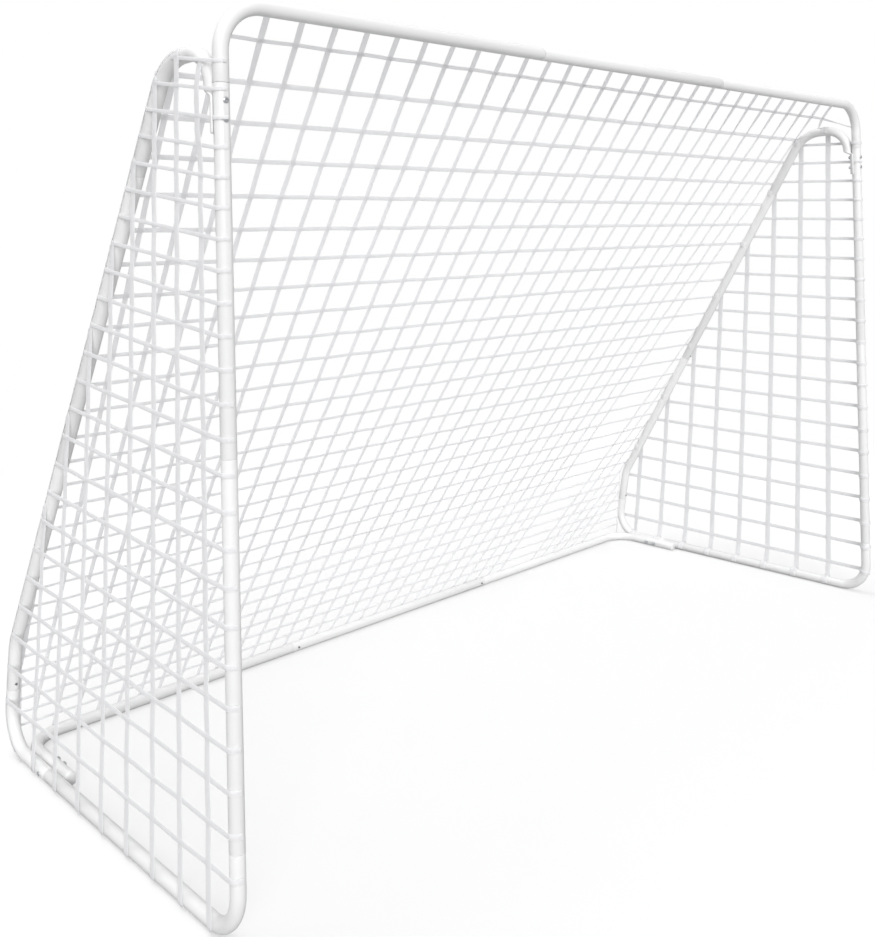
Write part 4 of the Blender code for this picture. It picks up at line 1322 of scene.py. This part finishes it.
class SidePattern:
    """Lines of a side net: its columns lean and spread, and its rows fan out from the post."""

    def __init__(self, side, columns, rows, row_end, column_over_top):
        self.sign = SIDES[side]
        self.columns = columns
        self.rows = rows
        self.row_end = row_end
        self.column_over_top = column_over_top
        self.outline = side_outline()
        self.net = Net()

    def meet(self, column, row):
        """Where a column and a row cross, as (depth, height)."""
        (foot, head), (start, slope) = self.columns[column], self.rows[row]
        lean = (head - foot) / COLUMN_TOP
        height = (start + slope * foot) / (1 - slope * lean)
        return Vector((foot + lean * height, height))

    def station(self, spot, lift, width):
        """Station over a spot of the side plane, lifted off the net's middle."""
        place = world(self.sign * (HALF_SPAN + stand_off(spot.x, spot.y) + lift), spot.x, spot.y)
        return place, Vector((self.sign, 0, 0)), width

    def run(self, spots, first_lift, width):
        """Stations of one tape across the open net, rising and falling at each crossing."""
        stations = []
        for index, spot in enumerate(spots):
            lift = first_lift * (-1) ** index * self.net.settings.lift
            if stations:
                stations.append(self.station((spots[index - 1] + spot) / 2, 0.0, width))
            stations.append(self.station(spot, lift, width))
        return stations

    def add_row(self, row):
        """Add a row, from round the post, through its crossings, to the rear edge."""
        start, slope = self.rows[row]
        point, along = Vector((0, start)), Vector((1, slope))
        found = crossings(self.outline, point, along)
        front, rear = found[0], found[-1]
        spots = [self.meet(column, row) for column in range(len(self.columns))]
        least, most = front[1].x + CROSSING_MARGIN, rear[1].x - CROSSING_MARGIN
        spots = [spot for spot in spots if least < spot.x < most]
        neighbour = self.rows[row + 1] if row + 1 < len(self.rows) else self.rows[row - 1]
        width = abs(neighbour[0] - start) * self.net.settings.row_share
        tapes = wrap(self.sign, front[1], front[2], self.row_end, 0, width, over_bolt(start))
        tapes += self.run(spots, 1 if row % 2 else -1, width)
        tapes += wrap(self.sign, rear[1], rear[2], 0, BORDER_TURN, width)
        self.net.tape(tapes)

    def add_column(self, column):
        """Add a column, from the ground bar, through its crossings, to the tube above or behind it."""
        foot, head = self.columns[column]
        point, along = Vector((foot, 0)), Vector(((head - foot) / COLUMN_TOP, 1))
        found = crossings(self.outline, point, along)
        low = found[0]
        tops = [item for item in found if item[1].y > KNEE_HEIGHT / 3 and item[2].y > 0]
        past_saddle = point + along * (SADDLE_TOP + COLUMN_PAST_SADDLE)
        high = tops[-1] if tops else (0, past_saddle, Vector((0, 1)))
        spots = [self.meet(column, row) for row in range(len(self.rows))]
        least, most = low[1].y + CROSSING_MARGIN, high[1].y - CROSSING_MARGIN
        spots = sorted((spot for spot in spots if least < spot.y < most), key=lambda spot: spot.y)
        neighbour = self.columns[column + 1] if column + 1 < len(self.columns) else self.columns[column - 1]
        width = abs(neighbour[0] - foot) * self.net.settings.column_share
        if self.column_over_top:
            tapes = wrap(self.sign, low[1], -low[2], OVER_TURN, FOOT_TURN, width)
        else:
            tapes = wrap(self.sign, low[1], low[2], GROUND_TURN, 0, width)
        first = -1 if column % 2 else 1
        tapes += self.run(spots, first, width)
        end = OVER_TURN if self.column_over_top else BORDER_TURN
        tapes += wrap(self.sign, high[1], high[2], 0, end, width)
        self.net.tape(tapes)

    def add_border(self):
        """Edge tape along the ground bar, the stay and the arc."""
        width = self.net.settings.border
        rear = [
            (point, after - before)
            for before, point, after in zip(self.outline, self.outline[1:], self.outline[2:])
            if point.x > BORDER_START
        ]
        edge = []
        for point, run in rear:
            angle = BORDER_TURN if point.y > GROUND_HEIGHT else GROUND_TURN
            normal = Vector((run.y, -run.x)).normalized()
            edge.append(wrapped(self.sign, point, normal, angle, width))
        self.net.tape(edge)

    def finish(self, side):
        """Add every tape and finish the net of one side."""
        for row in range(len(self.rows)):
            self.add_row(row)
        for column in range(len(self.columns)):
            self.add_column(column)
        self.add_border()
        return self.net.finish(f"tape_net_{side}", f"net_{side}")


def left_lines():
    """Columns (depth at the foot, at the top) and rows (height on the post, slope) that fit the left net."""
    columns = [
        (0.0018543 * k * k + 0.1219725 * k + 0.0868, 0.0961753 * k + 0.0525) for k in range(SIDE_COLUMNS)
    ]
    heights = [(0.13740 + 0.09533 * k) / (1 + 0.011591 * k) for k in range(LEFT_ROWS)]
    return columns, [(height, 0.10909 * height - 0.01696) for height in heights]


def right_lines():
    """Columns and rows that fit the right net, its rows counted from the top."""
    columns = [(0.1398625 * k + 0.1709892, 0.1175599 * k + 0.1267040) for k in range(SIDE_COLUMNS)]
    heights = [(1.8157237 - 0.0876074 * k) / (1 - 0.0066286 * k) for k in range(RIGHT_ROWS)]
    return columns, [(height, 0.018391 * height + 0.008595) for height in heights]


class OBJECT_OT_goal_side_nets(bpy.types.Operator):
    """Weave both side nets over the outer faces of the side frames"""

    bl_idname = "object.goal_side_nets"
    bl_label = "Side nets"

    def execute(self, context):
        SidePattern("left", *left_lines(), LEFT_ROW_TURN, column_over_top=False).finish("left")
        SidePattern("right", *right_lines(), RIGHT_ROW_TURN, column_over_top=True).finish("right")
        return {"FINISHED"}


def common_tangent(centre_a, radius_a, centre_b, radius_b):
    """Points where a line lies on two circles, above and behind both."""
    apart = centre_b - centre_a
    turn = math.asin((radius_b - radius_a) / apart.length)
    along = apart.normalized()
    normal = Vector((-along.y, along.x)) * math.cos(turn) - along * math.sin(turn)
    return centre_a + normal * radius_a, centre_b + normal * radius_b


class BackPattern:
    """Lines of the back net: columns that spread upwards and rows that draw apart towards the crossbar."""

    def __init__(self):
        self.net = Net()
        tangent = ARC_SHOULDER_RADIUS * math.tan((math.pi / 2 - STAY_LEAN) / 2)
        shoulder = Vector((SHOULDER.x - tangent, ARC_HEIGHT - ARC_SHOULDER_RADIUS))
        stay = stay_point(0) + outward(STAY_UP) * TAPE_OFFSET
        leg = leg_point(0) + outward(LEG_UP) * TAPE_OFFSET
        reach = ARC_SHOULDER_RADIUS + TAPE_OFFSET
        bar, roof = common_tangent(Vector((0, BAR_HEIGHT)), TAPE_OFFSET, shoulder, reach)
        self.bar = bar
        self.stay = stay
        self.top = self.crossing(bar, roof - bar, stay, STAY_UP)
        self.knee = self.crossing(stay, STAY_UP, leg, LEG_UP)
        self.foot = common_tangent(self.knee, 0, Vector((REAR_BAR_DEPTH, 0)), TAPE_OFFSET)[1]
        self.shoulder = shoulder
        self.roof_turn = math.atan2(bar.x, bar.y - BAR_HEIGHT)

    @staticmethod
    def crossing(point_a, along_a, point_b, along_b):
        """Where two lines of the side plane cross."""
        gap = point_b - point_a
        turn = along_a.x * along_b.y - along_a.y * along_b.x
        return point_a + along_a * ((gap.x * along_b.y - gap.y * along_b.x) / turn)

    def facing(self, high, low):
        """Normal, in space, of a run of the net that comes down from one corner of its profile to another."""
        up = (high - low).normalized()
        return Vector((0, up.y, -up.x))

    def spot(self, x, height):
        """Place and normal where the sight line through a point of the stays' plane meets the net."""
        depth = self.stay.x - (height - self.stay.y) * math.tan(STAY_LEAN)
        point = world(x - HALF_SPAN, depth, height)
        if height > self.top.y:
            high, low = self.bar, self.top
        elif height < self.knee.y:
            high, low = self.knee, self.foot
        else:
            return point, self.facing(self.top, self.knee)
        normal = self.facing(high, low)
        anchor = world(0, low.x, low.y)
        share = (anchor - EYE).dot(normal) / (point - EYE).dot(normal)
        return EYE + (point - EYE) * share, normal

    def eave(self, x):
        """Where the roof starts, as (depth, height): on the crossbar's skin and round its corners."""
        share = min(max((abs(x) - HALF_SPAN) / FRONT_CORNER_RADIUS + 1, 0), 1)
        axis = BAR_HEIGHT - FRONT_CORNER_RADIUS * (1 - math.sqrt(1 - share * share))
        turn = self.roof_turn + (math.pi / 2 - self.roof_turn) * share
        height = max(axis + TAPE_OFFSET * math.cos(turn), ARC_HEIGHT + TAPE_OFFSET)
        return Vector((TAPE_OFFSET * math.sin(turn), height))

    def draped(self, place):
        """Lower a place on the roof's side to where the net hangs from the crossbar's corner to the arc."""
        depth = place.y + MIDDLE_DEPTH
        eave = self.eave(place.x)
        share = min(max((depth - eave.x) / (self.top.x - eave.x), 0), 1)
        height = eave.y + (self.top.y - eave.y) * share
        if HALF_SPAN - abs(place.x) < TUBE_RADIUS:
            reach = ARC_SHOULDER_RADIUS + TAPE_OFFSET
            past = min(max(depth - self.shoulder.x, 0), reach)
            height = max(height, self.shoulder.y + math.sqrt(reach * reach - past * past))
        return world(place.x, max(depth, eave.x), height)

    def half_width(self, place):
        """How far the net reaches from the middle at a place on it."""
        height = place.z - TUBE_FLAT
        return HALF_SPAN - (LOW_BORDER if height < self.knee.y else 0)

    def column_x(self, column, height):
        """How far from the left post a column is seen in the stays' plane at a height."""
        low, high = 0.0805596 * column + 0.2802092, 0.1008484 * column + 0.2388715
        return low + (high - low) * (height - LOW_LEVEL) / (HIGH_LEVEL - LOW_LEVEL)

    def row_height(self, row):
        """Height at which a row is seen in the stays' plane, counted from the top row."""
        return (1.9432987 - 0.0715178 * row) / (1 + 0.011921 * row)

    def along_row(self, row):
        """Crossings of a row with the columns, as (place, normal, parity), and its two ends on the sides."""
        height = self.row_height(row)
        marks = []
        for column in range(FIRST_COLUMN, LAST_COLUMN + 2):
            place, normal = self.spot(self.column_x(column, height), height)
            marks.append((place, normal, column))
        reach = self.half_width(marks[MIDDLE_COLUMN - FIRST_COLUMN][0])
        on_roof = height > self.top.y
        room = reach - (ROOF_MARGIN if on_roof else CROSSING_MARGIN)
        inside = [mark for mark in marks if abs(mark[0].x) < room]
        first, last = inside[0][0], inside[-1][0]
        along = (last - first) / (last.x - first.x)
        ends = []
        for near, side in ((first, -reach), (last, reach)):
            edge = near + along * (side - near.x)
            if on_roof:
                edge = world(side, TAPE_OFFSET, ARC_HEIGHT + ROOF_ROW_RISE)
            ends.append([near.lerp(edge, share) for share in (0.5, 1)])
        return ends[0][::-1], inside, ends[1]

    def add_row(self, row):
        """Add a row from side to side, rising and falling at each crossing."""
        starts, inside, ends = self.along_row(row)
        height = self.row_height(row)
        settings = self.net.settings
        share = row / (BACK_ROWS - 1)
        width = settings.back_row_top + (settings.back_row_foot - settings.back_row_top) * share
        normal = inside[0][1]
        stations = [(place, normal, width) for place in starts]
        for place, facing, column in inside:
            lift = settings.lift * (1 if (row + column) % 2 else -1)
            stations.append(((stations[-1][0] + place) / 2, facing, width))
            stations.append((place + facing * lift, facing, width))
        stations += [(place, normal, width) for place in ends]
        if self.knee.y <= height <= self.top.y:
            stations = self.wrapped_end(stations, width)
        self.net.tape(stations)

    def wrapped_end(self, stations, width):
        """Carry both ends of a row round the outer edges of the stays."""
        ends = []
        for place, _, _ in (stations[0], stations[-1]):
            sign = 1 if place.x > 0 else -1
            height = place.z - TUBE_FLAT
            point, normal = self.nearest_axis(height)
            ends.append(wrap(sign, point, normal, STAY_WRAP_START, BORDER_TURN, width))
        return ends[0][::-1] + stations[1:-1] + ends[1]

    def nearest_axis(self, height):
        """Point and outward normal on the side frame's axis that carry a row of this height."""
        depth = self.stay.x - (height - self.stay.y) * math.tan(STAY_LEAN)
        normal = outward(STAY_UP)
        return Vector((depth, height)) - normal * TAPE_OFFSET, normal

    def column_places(self, column):
        """Places of a column from the crossbar to the rear bar, with the row that each lies on."""
        marks = []
        for row in range(BACK_ROWS):
            height = self.row_height(row)
            place, normal = self.spot(self.column_x(column, height), height)
            marks.append((place, normal, row))
        for height in (self.top.y, self.knee.y):
            place, normal = self.spot(self.column_x(column, height), height)
            marks.append((place, normal, None))
        marks.sort(key=lambda mark: -mark[0].z)
        x = self.extended(marks[1][0], marks[0][0], self.bar.x).x
        eave = self.eave(x)
        marks = [mark for mark in marks if mark[0].y + MIDDLE_DEPTH > eave.x + EAVE_MARGIN]
        marks.insert(0, (world(x, eave.x, eave.y), self.facing(self.bar, self.top), None))
        low = [mark for mark in marks if mark[0].z - TUBE_FLAT < self.knee.y - KNEE_MARGIN]
        foot = self.extended(low[-2][0], low[-1][0], self.foot.x)
        marks = [mark for mark in marks if mark[0].z > foot.z + FOOT_MARGIN]
        bend = min(max(abs(foot.x) - TAIL_REACH + REAR_BAR_CORNER_RADIUS, 0), REAR_BAR_CORNER_RADIUS)
        foot.y -= REAR_BAR_CORNER_RADIUS - math.sqrt(REAR_BAR_CORNER_RADIUS**2 - bend * bend)
        marks.append((foot, low[-1][1], None))
        return marks

    def extended(self, before, after, depth):
        """Point on the line through two places at a given depth."""
        along = (after - before) / (after.y - before.y)
        return after + along * (depth - MIDDLE_DEPTH - after.y)

    def clipped(self, marks):
        """First part of a column, from its top down, that lies within the net's sides, its ends on them."""
        kept = []
        for index, (place, normal, row) in enumerate(marks):
            room = self.half_width(place) - abs(place.x)
            if room >= 0:
                if index and not kept:
                    kept.append(self.cut(marks[index - 1], marks[index]))
                kept.append((place, normal, row))
            elif kept:
                kept.append(self.cut(marks[index - 1], marks[index]))
                break
        return kept

    def cut(self, one, other):
        """Mark where a column crosses the net's side between two marks."""
        room_one = self.half_width(one[0]) - abs(one[0].x)
        room_other = self.half_width(other[0]) - abs(other[0].x)
        place = one[0].lerp(other[0], room_one / (room_one - room_other))
        return (self.draped(place) if place.z > self.top.y + TUBE_FLAT else place), other[1], None

    def add_column(self, column):
        """Add the first part of a column that lies within the sides, if it is long enough."""
        marks = self.clipped(self.column_places(column))
        if len(marks) < 3:
            return
        stations = []
        for place, normal, row in marks:
            height = place.z - TUBE_FLAT
            gap = self.column_x(column + 1, height) - self.column_x(column, height)
            width = gap * self.net.settings.column_share
            lift = 0.0
            if row is not None:
                lift = self.net.settings.lift * (-1 if (row + column) % 2 else 1)
                if stations:
                    stations.append(((stations[-1][0] + place) / 2, normal, width))
            stations.append((place + normal * lift, normal, width))
        self.net.tape(stations)

    def add_borders(self):
        """Add the edge tapes along the crossbar, the rear bar and the low sides."""
        width = self.net.settings.border
        reach = HALF_SPAN - FRONT_CORNER_RADIUS
        head = world(0, self.bar.x, self.bar.y)
        foot = world(0, self.foot.x, self.foot.y)
        for middle, normal, half in (
            (head, self.facing(self.bar, self.top), reach),
            (foot, self.facing(self.knee, self.foot), HALF_SPAN - REAR_BAR_CORNER_RADIUS),
        ):
            shares = [2 * step / BORDER_STEPS - 1 for step in range(BORDER_STEPS + 1)]
            self.net.tape([(middle + Vector((half * share, 0, 0)), normal, width) for share in shares])
        low = self.facing(self.knee, self.foot)
        for sign in SIDES.values():
            edge = sign * (HALF_SPAN - LOW_BORDER)
            start = world(edge, self.knee.x, self.knee.y)
            end = world(edge, self.foot.x, self.foot.y)
            shares = [step / LOW_BORDER_STEPS for step in range(LOW_BORDER_STEPS + 1)]
            self.net.tape([(start.lerp(end, share), low, width) for share in shares])

    def finish(self):
        """Add every tape and finish the back net."""
        for row in range(BACK_ROWS):
            self.add_row(row)
        for column in range(FIRST_COLUMN, LAST_COLUMN + 1):
            self.add_column(column)
        self.add_borders()
        return self.net.finish("tape_net_back", "net_back", "net_back_low", "net_roof")


class OBJECT_OT_goal_back_net(bpy.types.Operator):
    """Weave the back net from the crossbar over the arcs and stays down to the rear bar"""

    bl_idname = "object.goal_back_net"
    bl_label = "Back net"

    def execute(self, context):
        BackPattern().finish()
        return {"FINISHED"}


# Stage

FLOOR_DROP = -0.0004
SENSOR_WIDTH = 24
SENSOR_HEIGHT = 36
CAMERA_REACH = 200
LIGHT_DISTANCE = 6
SKY_TOP = 0.8


class OBJECT_OT_goal_stage(bpy.types.Operator):
    """Set up the floor, the lights, the even white surroundings and the camera"""

    bl_idname = "object.goal_stage"
    bl_label = "Stage"

    def execute(self, context):
        scene = context.scene
        settings = scene.goal_stage
        shape = bmesh.new()
        bmesh.ops.create_grid(
            shape,
            x_segments=1,
            y_segments=1,
            size=settings.floor_size / 2,
            matrix=Matrix.Translation((0, 0, FLOOR_DROP)),
        )
        floor = to_object("studio_floor", shape)
        floor.data.materials.append(studio_floor(settings))
        self.add_world(scene, settings)
        self.add_light("overhead", Vector((-0.15, 0.35, 1.0)), math.radians(35), settings.key_power)
        self.add_light("front_fill", Vector((-0.55, -0.85, 0.35)), math.radians(40), settings.fill_power)
        camera = bpy.data.cameras.new("view")
        camera.sensor_fit = "VERTICAL"
        camera.sensor_width = SENSOR_WIDTH
        camera.sensor_height = SENSOR_HEIGHT
        camera.lens = settings.lens
        camera.shift_y = settings.rise
        camera.clip_end = CAMERA_REACH
        eye = bpy.data.objects.new("view", camera)
        eye.location = settings.eye
        eye.rotation_euler = settings.aim
        scene.collection.objects.link(eye)
        scene.camera = eye
        scene.view_settings.view_transform = "Standard"
        return {"FINISHED"}

    def add_world(self, scene, settings):
        """White where the camera looks, and elsewhere a soft light that fades from above to the horizon."""
        surroundings = bpy.data.worlds.new("surroundings")
        scene.world = surroundings
        surroundings.use_nodes = True
        add = node_adder(surroundings.node_tree)
        path = add("ShaderNodeLightPath")
        way = add("ShaderNodeSeparateXYZ", Vector=add("ShaderNodeTexCoord").outputs["Generated"])
        soft = add(
            "ShaderNodeMapRange", _0=way.outputs["Z"], _2=SKY_TOP, _3=settings.horizon, _4=settings.sky
        )
        strength = add("ShaderNodeMix", _0=path.outputs["Is Camera Ray"], _2=soft.outputs[0], _3=1.0)
        light = add("ShaderNodeBackground", Color=(1.0, 1.0, 1.0, 1.0), Strength=strength.outputs[0])
        add("ShaderNodeOutputWorld", Surface=light.outputs[0])

    def add_light(self, name, direction, spread, power):
        """Broad, even light that comes from a direction, with shadows as soft as its spread."""
        lamp = bpy.data.lights.new(name, "SUN")
        lamp.angle = spread
        lamp.energy = power
        obj = bpy.data.objects.new(name, lamp)
        obj.location = direction * LIGHT_DISTANCE
        obj.rotation_euler = (-direction).to_track_quat("-Z", "Y").to_euler()
        bpy.context.scene.collection.objects.link(obj)


class VIEW3D_PT_goal(bpy.types.Panel):
    """Panel that lists the goal's operators and settings"""

    bl_idname = "VIEW3D_PT_goal"
    bl_label = "Goal"
    bl_space_type = "VIEW_3D"
    bl_region_type = "UI"
    bl_category = "Goal"

    def draw(self, context):
        """List the operators, then each group of settings in a box."""
        for operator in OPERATORS:
            self.layout.operator(operator.bl_idname)
        for name in SETTINGS:
            box = self.layout.box()
            group = getattr(context.scene, name)
            for key in group.__annotations__:
                box.prop(group, key)


OPERATORS = (
    OBJECT_OT_goal_front,
    OBJECT_OT_goal_sides,
    OBJECT_OT_goal_rear_bar,
    OBJECT_OT_goal_bolts,
    OBJECT_OT_goal_buttons,
    OBJECT_OT_goal_side_nets,
    OBJECT_OT_goal_back_net,
    OBJECT_OT_goal_stage,
)
SETTINGS = {
    "goal_tubes": TubeSettings,
    "goal_fasteners": FastenerSettings,
    "goal_net": NetSettings,
    "goal_stage": StageSettings,
}
CLASSES = (*SETTINGS.values(), *OPERATORS, VIEW3D_PT_goal)


def register():
    """Register the classes, and hang the settings on the scene."""
    for cls in CLASSES:
        bpy.utils.register_class(cls)
    for name, group in SETTINGS.items():
        setattr(bpy.types.Scene, name, PointerProperty(type=group))


def unregister():
    """Take off what register added."""
    for name in SETTINGS:
        delattr(bpy.types.Scene, name)
    for cls in reversed(CLASSES):
        bpy.utils.unregister_class(cls)


def main():
    register()
    bpy.ops.object.goal_front()
    bpy.ops.object.goal_sides()
    bpy.ops.object.goal_rear_bar()
    bpy.ops.object.goal_bolts()
    bpy.ops.object.goal_buttons()
    bpy.ops.object.goal_side_nets()
    bpy.ops.object.goal_back_net()
    bpy.ops.object.goal_stage()


if __name__ == "__main__":
    main()
